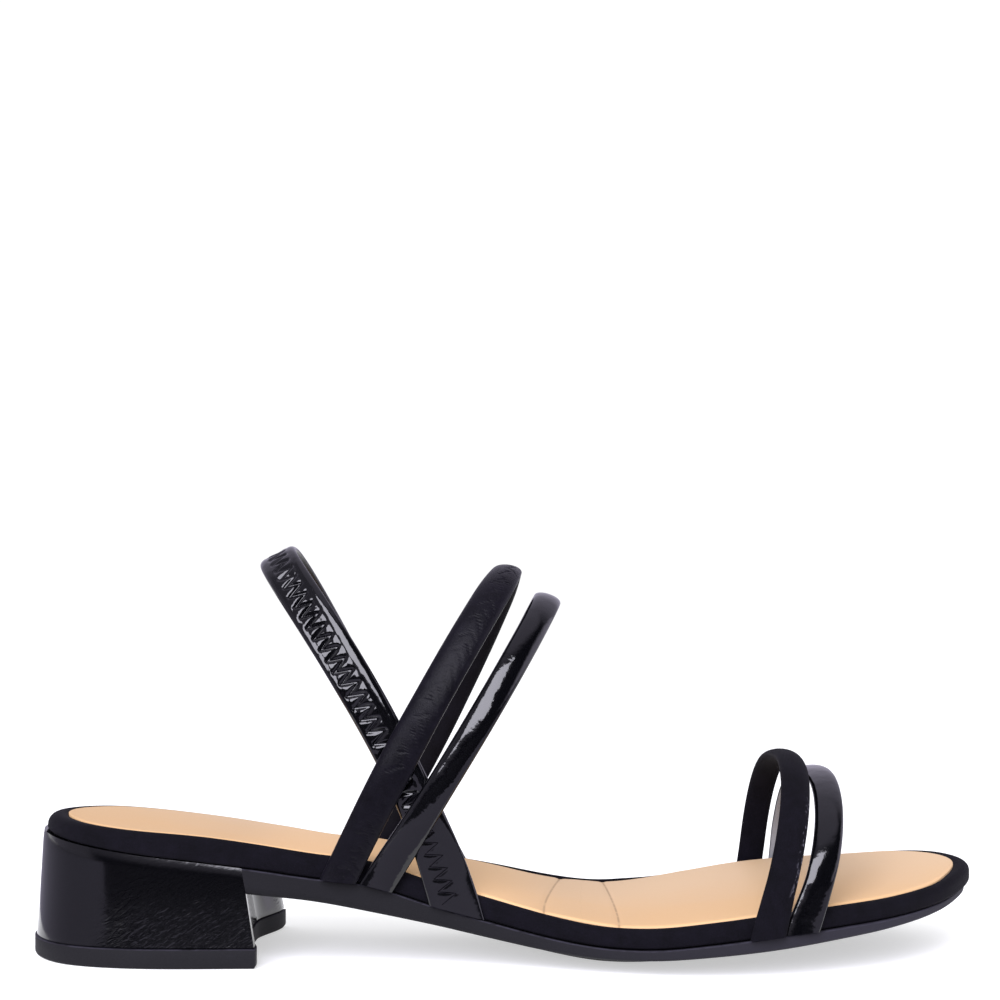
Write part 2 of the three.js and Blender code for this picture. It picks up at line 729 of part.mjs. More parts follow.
// The three straps at the ankle are joined where the sling passes under the other two.
function ankleStraps() {
  const instep = strapSolid("instep_strap_rear").add(strapSolid("instep_strap_front"));
  return toGeometry(instep.add(strapSolid("sling_strap")));
}

const blackSuede = new THREE.MeshStandardMaterial({ color: 0x1b1a1e, roughness: 0.9 });
const blackPatent = new THREE.MeshStandardMaterial({ color: 0x0a0a0c, roughness: 0.15 });
const tanLeather = new THREE.MeshStandardMaterial({ color: 0xe8c9a0, roughness: 0.6 });
const darkRubber = new THREE.MeshStandardMaterial({ color: 0x2f2d35, roughness: 0.75 });

function piece(name, geometry, material) {
  const mesh = new THREE.Mesh(geometry, material);
  mesh.name = name;
  return mesh;
}

const sandal = new THREE.Group();
sandal.add(
  piece("heel_lift", heelLift(), darkRubber),
  piece("heel_block", heelBlock(), blackPatent),
  piece("outsole", outsole(), darkRubber),
  piece("footbed_rim", footbedRim(0), blackSuede),
  piece("insole", insole(), tanLeather),
  piece("vamp_strap_rear", toGeometry(strapSolid("vamp_strap_rear")), blackSuede),
  piece("vamp_strap_front", toGeometry(strapSolid("vamp_strap_front")), blackPatent),
  piece("ankle_straps", ankleStraps(), blackPatent),
);

export default sandal;
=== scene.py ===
# Looks of the block heel sandal, laid out as a Blender add-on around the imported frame.
# Metres, +Z up, +X to the toe, -Y the outer side. The origin is under the heel lift.
import math
from collections import namedtuple
from contextlib import contextmanager

import bmesh
import bpy
import numpy as np
from bpy.props import FloatProperty, FloatVectorProperty, IntProperty, PointerProperty
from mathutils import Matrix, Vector, noise


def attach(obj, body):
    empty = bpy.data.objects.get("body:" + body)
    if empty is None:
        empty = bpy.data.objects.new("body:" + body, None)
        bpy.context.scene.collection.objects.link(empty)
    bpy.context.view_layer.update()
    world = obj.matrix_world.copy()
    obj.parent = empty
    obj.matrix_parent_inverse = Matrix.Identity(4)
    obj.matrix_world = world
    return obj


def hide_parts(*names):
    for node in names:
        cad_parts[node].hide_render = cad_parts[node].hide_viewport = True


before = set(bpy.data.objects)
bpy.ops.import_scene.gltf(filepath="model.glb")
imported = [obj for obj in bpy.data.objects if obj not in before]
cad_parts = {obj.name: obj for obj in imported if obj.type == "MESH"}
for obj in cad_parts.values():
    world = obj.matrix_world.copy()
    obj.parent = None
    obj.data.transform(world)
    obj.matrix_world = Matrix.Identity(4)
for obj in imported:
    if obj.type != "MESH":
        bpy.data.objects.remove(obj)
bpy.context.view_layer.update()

bl_info = {
    "name": "Block heel sandal",
    "version": (1, 0, 0),
    "blender": (4, 5, 0),
    "location": "View3D > Sidebar > Sandal",
    "description": "Builds the suede, patent, lining and rubber pieces of a strappy block heel sandal",
    "category": "Object",
}

MM = 0.001

# Sizes of the last, the sole and the heel
SOLE_LENGTH = 246.5 * MM
BALL_WIDTH = 76 * MM
HEEL_SEAT_WIDTH = 52 * MM
FOREFOOT_SEAM = 6.3 * MM
HEEL_RISE = 26.1 * MM
TOE_SPRING = 9.7 * MM
INNER_RAISE = 2 * MM
FOOTBED_DIP = 2.6 * MM
RIM_HEIGHT = 6 * MM
RIM_BORDER = 2.6 * MM
RIM_ROUNDING = 2.2 * MM
BACK_BORDER = 3.6 * MM
BACK_ROUNDING = 1.3 * MM
BACK_SET = 1 * MM
TOE_BORDER = 1.5 * MM
TOE_TUCK = 0.45 * MM
TIP_SET = 0.4 * MM
INNER_ROLL = 0.75 * MM
LIP_WIDTH = 0.5 * MM
LIP_DROP = 0.3 * MM
RECESS_DEPTH = 2 * MM
PAD_RISE = 0.7 * MM
PAD_ROUNDING = PAD_RISE
PAD_GAP = 0.1 * MM
PAD_EDGE_DROP = 0.05 * MM
PAD_DIP_SHARE = 0.45
CREASE_BULGE = 0.22 * MM
# Half width of the shade painted along each insole crease
CREASE_SHADE_LINE = 0.45 * MM
OUTSOLE_EDGE = 3 * MM
OUTSOLE_LEDGE = 0.9 * MM
OUTSOLE_ROUNDING = 1.3 * MM
OUTSOLE_ROUND_SHARE = 0.35
OUTSOLE_CHAMFER = 0.3 * MM
CHAMFER_DROP = 0.25 * MM
TREAD_CROWN = 5.9 * MM
CROWN_POWER = 1.35
HEEL_LENGTH = 61.8 * MM
LIFT_THICKNESS = 5 * MM
LIFT_OVERHANG = 0.4 * MM
LIFT_ROUNDING = 0.9 * MM
HEEL_FLARE = 1.8 * MM
HEEL_TOP_ROUNDING = 0.2 * MM
HEEL_FOOT_ROUNDING = 0.04 * MM
BREAST_LEAN = 3.2 * MM
BREAST_HOLLOW = 4.8 * MM
SEAT_GAP = 0.3 * MM

# Where the sole changes, as shares of its length
SEAT_TO_BALL = (0.2, 0.6)
HEEL_END = (0, 0.12)
TOE_DRAWN_IN = (0.86, 0.97)
TIP_DRAWN_IN = (0.95, 0.99)
TOE_TUCKED = (0.88, 0.98)
TOE_BORDERED = (0.93, 1)
ROLL_RISES = (0.42, 0.54)
ROLL_FALLS = (0.68, 0.62)

# The heel's hollow front, as shares of its half width, the bend of its flare, and where its cover
# rolls in, as shares of its height
HOLLOW_FROM = 0.3
HOLLOW_TO = 1.01
FLARE_POWER = 0.8
HEEL_TOP_SHARE = 0.14
HEEL_FOOT_SHARE = 0.06

# Sizes of the straps and of the foot between them, and places along a strap as shares of its
# path or, for the twists, of its height
SLING_THICKNESS = 1.9 * MM
SEWN_DEPTH = 0.3 * MM
ANKLE_HALF_OUTER = 29.5 * MM
ANKLE_HALF_INNER = 28 * MM
ANKLE_REACH = 34 * MM
LAYER_SHARE = 0.25
FOOT_ZONE = 0.16
TAPER_ZONE = 0.12
STRAIGHT_PACE = 0.8
LOOP_POWER = 0.92
NEAR_APEX = (0.25, 0)
TWIST_RISES = (0.35, 0.6)
LOW_TWIST_RISES = (0.08, 0.24)
LOW_TWIST_FALLS = (0.7, 0.45)
FOOT_THINNING = 0.75
INNER_FLATNESS = 1.4
PATENT_RELIEF = 0.045 * MM
PATENT_LUMP = 3.2 * MM
SUEDE_RELIEF = 0.05 * MM
SUEDE_LUMP = 6 * MM
CREASE_SWAY = 1.3 * MM
CREASE_SWAY_LENGTH = 3.5 * MM
CREASE_SCATTER = 1.4 * MM
LAST_RING_CLEAR = 0.2 * MM

# Quilting of the sling: distances from its top between which the zone moves to the middle and
# grows flatter, and distances from its ends between which it grows full
QUILT_CENTRED = (45 * MM, 5 * MM)
QUILT_FLATTER = (30 * MM, 8 * MM)
QUILT_FULLER = (17 * MM, 36 * MM)
SEWN_FULLNESS = 0.14
TOP_FLATNESS = 0.35
PUFF_CHANGE = 0.35
PUFF_LENGTH = 2.1 * MM
SLING_RIPPLE = 0.04 * MM
SLING_RIPPLE_LENGTH = 1.7 * MM
BORDER_FROM = 1.15
LEAST_BORDER = 0.2 * MM

# Steps of the meshes
OUTLINE_STEPS = 200
FINE_STEPS = 620
HEEL_SIDE_STEPS = 70
BREAST_STEPS = 60
HEEL_LEVELS = 40
PATH_STEPS = 3000
CLOSING_SHARES = (0.25, 0.55, 1)
HEEL_CLOSING_SHARES = (0.34, 0.67, 1)
SEAM_CUT_STEPS = 8
THREAD_CUTS = 3
THREAD_SIDES = 6
WELD = 0.001 * MM

# Camera and light
CAMERA_PLACE = (91.6 * MM, -415 * MM, 86 * MM)
CAMERA_LENS = 56.2
CAMERA_SENSOR = 36
CAMERA_SHIFT = 0.1226
FLOOR_HALF = 4.0
FLOOR_GLOW = 0.5
STUDIO_MIDDLE = (0.09, 0, 0.05)
SOFTBOX_TURN = -15
SOFTBOX_LIFT = 34
SOFTBOX_AWAY = 1.4
SOFTBOX_WIDTH = 0.95
SOFTBOX_HEIGHT = 1.1
SOFTBOX_POWER = 32
SOFTBOX_TINT = (0.9, 0.89, 1)
FILL = 1.05
SEEN_WHITE = 1.05
COOL = (0.85, 0.8, 1, 1)

# Brightness of the studio that only mirrored rays see
BEHIND_SEEN = 0.72
ABOVE_SEEN = 0.75
RIGHT_SEEN = 1.9
LEFT_SEEN = 0.5
WALL_SEEN = 0.35

# Cards on the floor that only mirrored rays see: name, corners, height and brightness
MIRROR_CARDS = (
    ("front_card", ((-0.2, -3.9), (3.9, -3.9), (3.9, -0.05), (-0.05, -0.05)), 0.3 * MM, 0.42),
    ("left_card", ((-3.9, -3.9), (-0.15, -3.9), (-0.06, 0.5), (-3.9, 0.5)), 0.4 * MM, 0.25),
    ("black_card", ((-3.4, -3.9), (3, -3.9), (0.45, -0.14), (-0.09, -0.14)), 0.6 * MM, 0.004),
)

# Worked out from the sizes
HEEL_SEAT_BACK = -HEEL_LENGTH / 2 + LIFT_OVERHANG + HEEL_FLARE
BLOCK_FOOT = LIFT_THICKNESS + SEAT_GAP
BREAST_FOOT = HEEL_LENGTH / 2 - LIFT_OVERHANG
HEEL_REACH = BREAST_FOOT - 4 * BREAST_HOLLOW

# Outline of the footbed: shares of the length, and of the local width on either side of the axis.
OutlineRow = namedtuple("OutlineRow", "along outer inner")
OUTLINE = [
    OutlineRow(*row)
    for row in (
        (0, 0, 0),
        (0.02, 0.28, 0.28),
        (0.05, 0.408, 0.408),
        (0.1, 0.485, 0.485),
        (0.16, 0.508, 0.505),
        (0.25, 0.488, 0.474),
        (0.35, 0.42, 0.362),
        (0.45, 0.38, 0.3),
        (0.52, 0.394, 0.308),
        (0.6, 0.45, 0.378),
        (0.66, 0.492, 0.448),
        (0.72, 0.504, 0.496),
        (0.78, 0.482, 0.518),
        (0.84, 0.422, 0.508),
        (0.9, 0.326, 0.46),
        (0.95, 0.205, 0.38),
        (0.98, 0.085, 0.285),
        (1, -0.105, 0.105),
    )
]

# Side view of the sole, each column a share of the size that it follows: heel of HEEL_RISE,
# toe of TOE_SPRING, rim of RIM_HEIGHT, pad of PAD_RISE, edge of OUTSOLE_EDGE, raised of
# INNER_RAISE, dip of FOOTBED_DIP and crown of TREAD_CROWN.
ProfileRow = namedtuple("ProfileRow", "along heel toe rim pad edge raised dip crown")
PROFILE = [
    ProfileRow(*row)
    for row in (
        (0, 1, 0, 0.76, 0.3, 2.1, 0, 0, 0.1),
        (0.056, 0.914, 0, 0.88, 0.3, 2.1, 0, 0.25, 0.1),
        (0.113, 0.837, 0, 1, 0.3, 2.1, -0.3, 0.4, 0.1),
        (0.182, 0.759, 0, 1.1, 0.3, 2.1, -0.7, 0.4, 0.15),
        (0.239, 0.689, 0, 1.07, 0.3, 2.07, -0.75, 0.35, 0.2),
        (0.296, 0.607, 0, 1.03, 0.3, 1.9, -0.6, 0.3, 0.22),
        (0.356, 0.532, 0, 1, 0.4, 2.16, -0.1, 0.35, 0.25),
        (0.418, 0.349, 0, 1, 0.6, 1.59, 0.5, 0.45, 0.32),
        (0.478, 0.198, 0, 0.97, 0.8, 1.33, 0.95, 0.6, 0.5),
        (0.539, 0.07, 0, 0.92, 0.8, 1.1, 0.9, 0.85, 0.8),
        (0.592, 0.006, 0, 0.87, 0.9, 0.92, 0.75, 1, 1),
        (0.641, 0, 0.015, 0.87, 1, 0.88, 0.7, 1, 1),
        (0.702, 0, 0.19, 0.88, 1, 1, 0.7, 0.95, 0.86),
        (0.762, 0, 0.38, 0.88, 1, 1.1, 0.8, 0.8, 0.74),
        (0.823, 0, 0.52, 0.87, 1, 0.95, 0.9, 0.6, 0.6),
        (0.884, 0, 0.64, 0.83, 1, 0.78, 1.08, 0.4, 0.44),
        (0.937, 0, 0.79, 0.83, 0.8, 0.7, 1.22, 0.2, 0.3),
        (0.977, 0, 0.97, 0.85, 0.5, 0.65, 0.9, 0.08, 0.15),
        (1, 0, 1.12, 0.84, 0.3, 0.65, 0.2, 0, 0.1),
    )
]

# Loops of the straps. Feet and apex are shares of the sole's length, and apex_side and the bows,
# by which a side swings forwards, are shares of the ball's width and of the height. straight is
# the share of the height before the loop turns over, spread the width at the outer foot, level
# how far the top lies level, crown the roundness of the section, and taper how much narrower the
# top is. twist, above the crossing, and low_twist, below it, are in degrees. at_ankle is 1 for
# a loop around the ankle, and over_sling is 1 for one that lies over the sling.
Strap = namedtuple(
    "Strap",
    "width thickness height outer_foot inner_foot apex_along bow_outer bow_inner straight spread"
    " crown level at_ankle over_sling apex_side twist low_twist taper",
    defaults=(0, 0, 0, 0, 0, 0, 0),
)
STRAPS = {
    "vamp_strap_rear": Strap(
        width=7.3 * MM, thickness=3.2 * MM, height=50.6 * MM,
        outer_foot=0.7495, inner_foot=0.781, apex_along=0.796, apex_side=0.02,
        bow_outer=-0.01, bow_inner=0.018, straight=0.3, spread=1.12,
        level=0.8, crown=2.1, taper=0.12,
    ),
    "vamp_strap_front": Strap(
        width=7 * MM, thickness=2.2 * MM, height=46.6 * MM,
        outer_foot=0.783, inner_foot=0.818, apex_along=0.828, apex_side=0.026,
        bow_outer=0.026, bow_inner=0.01, straight=0.3, spread=1.15,
        level=0.6, crown=2.3, twist=11,
    ),
    "instep_strap_rear": Strap(
        width=9.1 * MM, thickness=3.7 * MM, height=99.6 * MM,
        outer_foot=0.324, inner_foot=0.334, apex_along=0.496,
        bow_outer=-0.016, bow_inner=0.024, straight=0.5, spread=0.95,
        level=0.2, crown=2.1, twist=16, taper=0.16, at_ankle=1, over_sling=1,
    ),
    "instep_strap_front": Strap(
        width=7.2 * MM, thickness=3 * MM, height=92.2 * MM,
        outer_foot=0.362, inner_foot=0.366, apex_along=0.539,
        bow_outer=0.012, bow_inner=0.025, straight=0.5, spread=1.15,
        level=0.2, crown=2.1, twist=6, at_ankle=1, over_sling=1,
    ),
    "sling_strap": Strap(
        width=10.2 * MM, thickness=SLING_THICKNESS, height=103.4 * MM,
        outer_foot=0.445, inner_foot=0.436, apex_along=0.25,
        bow_outer=0.066, bow_inner=-0.006, straight=0.5, spread=1.2,
        crown=6, low_twist=9, at_ankle=1,
    ),
}

# Creases across the insole: places of their outer and inner ends as shares of the sole's length,
# forward bend between the ends, depth and half width.
Crease = namedtuple("Crease", "outer inner bend depth width")
INSOLE_CREASES = (
    Crease(0.532, 0.559, -0.006, 0.3 * MM, 0.75 * MM),
    Crease(0.606, 0.604, 0.005, 0.26 * MM, 0.7 * MM),
)

# Short creases of the soft suede strap, in two families that lean opposite ways.
CreaseFamily = namedtuple("CreaseFamily", "pitch slant middle reach depth half seed")
STRAP_CREASES = (
    CreaseFamily(3.3 * MM, 1.1, 1.7 * MM, 2.6 * MM, 0.34 * MM, 0.2 * MM, 1.3),
    CreaseFamily(4.7 * MM, -0.8, 0.2 * MM, 2.4 * MM, 0.26 * MM, 0.2 * MM, 5.6),
)


# The last and the sole


def smooth(low, high, value):
    share = np.clip((value - low) / (high - low), 0, 1)
    return share * share * (3 - 2 * share)


def round_share(along):
    """The ends of the outline are round, so its widths are read by this angle share."""
    return np.arccos(1 - 2 * np.clip(along, 0, 1)) / math.pi


def along_of(angle_share):
    return (1 - np.cos(math.pi * angle_share)) / 2


def column_curve(table, column, warp=lambda value: value):
    """A smooth curve through one column of a table, read at a share of the length."""
    places = np.array([float(warp(row.along)) for row in table])
    values = np.array([float(getattr(row, column)) for row in table])
    last = len(places) - 1
    after = np.minimum(np.arange(last + 1) + 1, last)
    before = np.maximum(np.arange(last + 1) - 1, 0)
    slopes = (values[after] - values[before]) / (places[after] - places[before])

    def read(along):
        place = warp(np.clip(along, 0, 1))
        i = np.clip(np.searchsorted(places, place) - 1, 0, last - 1)
        span = places[i + 1] - places[i]
        u = (place - places[i]) / span
        start = (2 * u**3 - 3 * u**2 + 1) * values[i] + (u**3 - 2 * u**2 + u) * span * slopes[i]
        return start + (3 * u**2 - 2 * u**3) * values[i + 1] + (u**3 - u**2) * span * slopes[i + 1]

    return read


outer_share = column_curve(OUTLINE, "outer", round_share)
inner_share = column_curve(OUTLINE, "inner", round_share)
side_view = {name: column_curve(PROFILE, name) for name in ProfileRow._fields if name != "along"}


def local_width(along):
    return HEEL_SEAT_WIDTH + (BALL_WIDTH - HEEL_SEAT_WIDTH) * smooth(*SEAT_TO_BALL, along)


def outer_half(along):
    return local_width(along) * outer_share(along)


def inner_half(along):
    return local_width(along) * inner_share(along)


def along_at(x):
    return np.clip((x - HEEL_SEAT_BACK) / SOLE_LENGTH, 0, 1)


def across_at(along, y):
    """-1 at the outer edge of the footbed, 1 at its inner edge."""
    middle = (inner_half(along) - outer_half(along)) / 2
    half = np.maximum((inner_half(along) + outer_half(along)) / 2, HEEL_SEAT_WIDTH / 8)
    return np.clip((y - middle) / half, -1, 1)


def seam_edge(along, across):
    rise = HEEL_RISE * side_view["heel"](along) + TOE_SPRING * side_view["toe"](along)
    return FOREFOOT_SEAM + rise + INNER_RAISE * side_view["raised"](along) * (across + 1) * 0.5


def seam_height(x, y):
    """The seam between the outsole or the heel and the footbed."""
    along = along_at(x)
    across = across_at(along, y)
    return seam_edge(along, across) - FOOTBED_DIP * side_view["dip"](along) * (1 - across**2)


def tread_height(x, y):
    along = along_at(x)
    across = across_at(along, y)
    edge = seam_edge(along, across) - OUTSOLE_EDGE * side_view["edge"](along)
    bulge = (1 - across**2) ** CROWN_POWER
    return np.maximum(0, edge - TREAD_CROWN * side_view["crown"](along) * bulge)


def rim_top(x, y):
    return seam_height(x, y) + RIM_HEIGHT * side_view["rim"](along_at(x))


def insole_top(x, y):
    along = along_at(x)
    across = across_at(along, y)
    pad = PAD_RISE * side_view["pad"](along) * (1 - across**6)
    dip = FOOTBED_DIP * side_view["dip"](along) * PAD_DIP_SHARE * (1 - across**2)
    return seam_edge(along, across) + RIM_HEIGHT * side_view["rim"](along) + pad - dip


def ledge_at(along):
    """The outsole stands out under the rim, and at the toe it draws back under it."""
    toe = smooth(*TOE_DRAWN_IN, along)
    return OUTSOLE_LEDGE * (1 - toe) - rim_tuck(along) * toe - TIP_SET * smooth(*TIP_DRAWN_IN, along)


def behind_heel(along):
    return 1 - smooth(*HEEL_END, along)


def rim_set(along):
    return BACK_SET * behind_heel(along)


def rim_rounding(along):
    return RIM_ROUNDING + BACK_ROUNDING * behind_heel(along)


def rim_tuck(along):
    """The rim's lower edge rolls in under it, most of all at the toe."""
    return RIM_ROUNDING / 4 + TOE_TUCK * smooth(*TOE_TUCKED, along)


def rim_border(along):
    toe = smooth(*TOE_BORDERED, along)
    return RIM_BORDER + BACK_BORDER * behind_heel(along) + TOE_BORDER * toe


def rim_roll(x, y):
    """The rim stands a little higher along the inner side of the ball."""
    along = along_at(x)
    inner_side = smooth(0, 0.9, across_at(along, y))
    return INNER_ROLL * inner_side * smooth(*ROLL_RISES, along) * smooth(*ROLL_FALLS, along)


# Rings and meshes


def outline_loop(inset, steps=OUTLINE_STEPS):
    """The outline from above, moved inwards by a size or by a function of the place along."""
    half = along_of(np.arange(steps + 1) / steps)
    back = half[-2:0:-1]
    x = HEEL_SEAT_BACK + SOLE_LENGTH * np.concatenate([half, back])
    y = np.concatenate([-outer_half(half), inner_half(back)])
    insets = inset(along_at(x)) if callable(inset) else np.full(len(x), inset)
    return move_inwards(np.column_stack([x, y]), insets)


def move_inwards(loop, insets):
    way = np.roll(loop, -1, axis=0) - np.roll(loop, 1, axis=0)
    way /= np.linalg.norm(way, axis=1, keepdims=True)
    return loop + np.column_stack([-way[:, 1], way[:, 0]]) * np.reshape(insets, (-1, 1))


def ring_at(loop, height_at):
    heights = height_at(loop[:, 0], loop[:, 1]) if callable(height_at) else height_at
    return np.column_stack([loop, np.broadcast_to(heights, len(loop))])


def quarter(share):
    """How far in and how far down an edge of radius 1 lies at a share of its quarter turn."""
    turn = share * math.pi / 2
    return 1 - math.cos(turn), 1 - math.sin(turn)


def closing_rings(loop, shares, height_at, reach=math.inf):
    """Rings that close a loop over its middle line, which goes no further forwards than reach."""
    twins = loop[-np.arange(len(loop)) % len(loop)]
    middle = (loop + twins) / 2
    middle[:, 0] = np.minimum(middle[:, 0], reach)
    return [ring_at(loop + (middle - loop) * share, height_at) for share in shares]


def ring_faces(ring_count, count, capped):
    faces = []
    for k in range(ring_count - 1):
        here = k * count
        for i in range(count):
            after = (i + 1) % count
            faces.append((here + i, here + after, here + count + after, here + count + i))
    if capped:
        top = (ring_count - 1) * count
        faces.append(tuple(reversed(range(count))))
        faces.append(tuple(range(top, top + count)))
    return faces


@contextmanager
def edited(mesh):
    shape = bmesh.new()
    shape.from_mesh(mesh)
    yield shape
    shape.to_mesh(mesh)
    shape.free()


def give_values(mesh, name, kind, values):
    """Gives each point of a mesh a number or a vector under a name."""
    field = "value" if kind == "FLOAT" else "vector"
    mesh.attributes.new(name, kind, "POINT").data.foreach_set(field, values.astype(np.float32).ravel())


def ringed_mesh(name, rings):
    """A closed mesh through rings whose first and last have folded together."""
    mesh = bpy.data.meshes.new(name)
    mesh.from_pydata(np.concatenate(rings).tolist(), [], ring_faces(len(rings), len(rings[0]), False))
    with edited(mesh) as shape:
        bmesh.ops.remove_doubles(shape, verts=shape.verts, dist=WELD)
        bmesh.ops.recalc_face_normals(shape, faces=shape.faces)
    return mesh


def shade_smooth(mesh, sharp_angle=40):
    """Smooth faces, with edges sharper than the angle, in degrees, kept crisp."""
    with edited(mesh) as shape:
        for face in shape.faces:
            face.smooth = True
        for edge in shape.edges:
            edge.smooth = edge.calc_face_angle(0) < math.radians(sharp_angle)


def placed(name, mesh):
    thing = bpy.data.objects.new(name, mesh)
    bpy.context.scene.collection.objects.link(thing)
    return thing


def add_piece(name, mesh, node, material=None):
    """A piece that rides on the frame and stands for its solid."""
    if material:
        mesh.materials.append(material)
    piece = placed(name, mesh)
    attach(piece, "root")
    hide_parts(node)
    return piece


# Footbed


def rim_mesh():
    def floor(x, y):
        return rim_top(x, y) - RECESS_DEPTH

    def lower(x, y):
        return seam_height(x, y) + SEAT_GAP

    def rolled_top(x, y):
        return rim_top(x, y) + rim_roll(x, y)

    def tucked(share):
        inset, lift = quarter(share)
        loop = outline_loop(lambda along: rim_set(along) + rim_tuck(along) * inset)
        return ring_at(loop, lambda x, y: lower(x, y) + rim_tuck(along_at(x)) * lift)

    def rounded(share):
        inset, drop = quarter(share)
        loop = outline_loop(lambda along: rim_set(along) + rim_rounding(along) * inset)
        return ring_at(loop, lambda x, y: rolled_top(x, y) - rim_rounding(along_at(x)) * drop)

    bottom = outline_loop(lambda along: rim_set(along) + rim_tuck(along))
    border = outline_loop(rim_border)
    rolled = outline_loop(lambda along: rim_border(along) - LIP_WIDTH)
    rings = closing_rings(bottom, CLOSING_SHARES, lower)[::-1]
    rings += [tucked(share) for share in np.linspace(1, 0, 5)]
    rings += [rounded(share) for share in np.linspace(0, 1, 9)]
    rings.append(ring_at(rolled, rolled_top))
    rings.append(ring_at(border, lambda x, y: rolled_top(x, y) - LIP_DROP))
    rings.append(ring_at(border, floor))
    rings += closing_rings(border, CLOSING_SHARES, floor)
    return ringed_mesh("footbed_rim_suede", rings)


def crease_offsets(x, y):
    """Distances along the sole from each crease."""
    along = along_at(x)
    across = across_at(along, y)
    side = (across + 1) / 2
    offsets = []
    for crease in INSOLE_CREASES:
        place = crease.outer + (crease.inner - crease.outer) * side + crease.bend * (1 - across**2)
        offsets.append((along - place) * SOLE_LENGTH)
    return offsets


def insole_relief(x, y):
    offsets = crease_offsets(x, y)
    height = np.zeros_like(x)
    for crease, off in zip(INSOLE_CREASES, offsets):
        height = height - crease.depth * np.exp(-((off / crease.width) ** 2))
    between = offsets[0] / (offsets[0] - offsets[1])
    return height + CREASE_BULGE * smooth(0, 0.4, between) * smooth(1, 0.6, between)


def insole_mesh():
    """The lining, with the distance from its nearest crease as an attribute that places the shade painted
    along the creases.
    """

    def floor(x, y):
        return rim_top(x, y) - RECESS_DEPTH + SEAT_GAP

    def top(x, y):
        return insole_top(x, y) + insole_relief(x, y)

    def edge_at(along):
        return rim_border(along) + PAD_GAP

    def rounded(share):
        inset, drop = (PAD_ROUNDING * part for part in quarter(share))
        loop = outline_loop(lambda along: edge_at(along) + inset, FINE_STEPS)
        return ring_at(loop, lambda x, y: top(x, y) - drop * side_view["pad"](along_at(x)) - PAD_EDGE_DROP)

    edge = outline_loop(edge_at, FINE_STEPS)
    shoulder = outline_loop(lambda along: edge_at(along) + PAD_ROUNDING, FINE_STEPS)
    rings = closing_rings(edge, CLOSING_SHARES, floor)[::-1]
    rings.append(ring_at(edge, floor))
    rings += [rounded(share) for share in np.linspace(0, 1, 5)]
    rings += closing_rings(shoulder, np.linspace(0.02, 1, 30) ** 1.3, top)
    mesh = ringed_mesh("insole_lining", rings)
    places = np.zeros(3 * len(mesh.vertices), dtype=np.float32)
    mesh.vertices.foreach_get("co", places)
    x, y = places.astype(float).reshape(-1, 3).T[:2]
    first, second = crease_offsets(x, y)
    give_values(mesh, "off_crease", "FLOAT", np.where(np.abs(first) < np.abs(second), first, second))
    return mesh


# Heel and outsole


def breast_at(z):
    top = seam_edge(along_at(BREAST_FOOT), 0)
    return BREAST_FOOT - BREAST_LEAN * (z - BLOCK_FOOT) / (top - BLOCK_FOOT)


def heel_loop(z, grow, front_grow):
    """Outline of the heel at a height: the footbed's outline, cut by a leaning, hollow front."""
    corner = breast_at(z)
    along = along_of(round_share(along_at(corner)) * np.arange(HEEL_SIDE_STEPS + 1) / HEEL_SIDE_STEPS)
    x = HEEL_SEAT_BACK + SOLE_LENGTH * along
    outer_side = np.column_stack([x, -outer_half(along)])
    inner_side = np.column_stack([x, inner_half(along)])[:0:-1]
    sides = np.concatenate([outer_side, inner_side])
    sides = move_inwards(sides, np.full(len(sides), -grow))
    outer = -outer_half(along_at(corner))
    inner = inner_half(along_at(corner))
    sides[HEEL_SIDE_STEPS] = (corner + front_grow, outer - grow)
    sides[HEEL_SIDE_STEPS + 1] = (corner + front_grow, inner + grow)
    share = np.arange(1, BREAST_STEPS) / BREAST_STEPS
    hollow = 1 - smooth(HOLLOW_FROM, HOLLOW_TO, np.abs(2 * share - 1))
    breast_x = corner + front_grow - BREAST_HOLLOW * hollow
    breast = np.column_stack([breast_x, outer + (inner - outer) * share])
    return np.concatenate([sides[: HEEL_SIDE_STEPS + 1], breast, sides[HEEL_SIDE_STEPS + 1 :]])


def heel_closing(loop, height_at):
    return closing_rings(loop, HEEL_CLOSING_SHARES, height_at, HEEL_REACH)


def heel_mesh():
    top_at_breast = seam_edge(along_at(BREAST_FOOT), 0)

    def level_ring(level):
        over = max(0, level - 1 + HEEL_TOP_SHARE) / HEEL_TOP_SHARE
        under = max(0, HEEL_FOOT_SHARE - level) / HEEL_FOOT_SHARE
        shrink = HEEL_TOP_ROUNDING * over**2 + HEEL_FOOT_ROUNDING * under**2
        loop = heel_loop(
            BLOCK_FOOT + level * (top_at_breast - BLOCK_FOOT),
            HEEL_FLARE * (1 - level**FLARE_POWER) - shrink,
            -shrink,
        )
        return loop, ring_at(loop, lambda x, y: BLOCK_FOOT + level * (seam_height(x, y) - BLOCK_FOOT))

    levels = [level_ring(level) for level in np.linspace(0, 1, HEEL_LEVELS)]
    low_loop = levels[0][0]
    high_loop = levels[-1][0]
    rings = heel_closing(low_loop, BLOCK_FOOT)[::-1]
    rings += [ring for loop, ring in levels]
    rings += heel_closing(high_loop, seam_height)
    return ringed_mesh("heel_cover", rings)


def lift_mesh():
    grow = HEEL_FLARE + LIFT_OVERHANG

    def rounded(turn, top):
        inset = LIFT_ROUNDING * (1 - math.cos(turn))
        loop = heel_loop(BLOCK_FOOT, grow - inset, LIFT_OVERHANG - inset)
        rise = LIFT_ROUNDING * math.sin(turn)
        return loop, (LIFT_THICKNESS - LIFT_ROUNDING / 3 + rise / 3 if top else LIFT_ROUNDING - rise)

    turns = np.linspace(0, math.pi / 2, 5)
    low = [rounded(turn, False) for turn in turns[::-1]]
    high = [rounded(turn / 2, True) for turn in turns]
    rings = heel_closing(low[0][0], low[0][1])[::-1]
    rings += [ring_at(loop, z) for loop, z in low + high]
    rings += heel_closing(high[-1][0], high[-1][1])
    return ringed_mesh("heel_lift_rubber", rings)


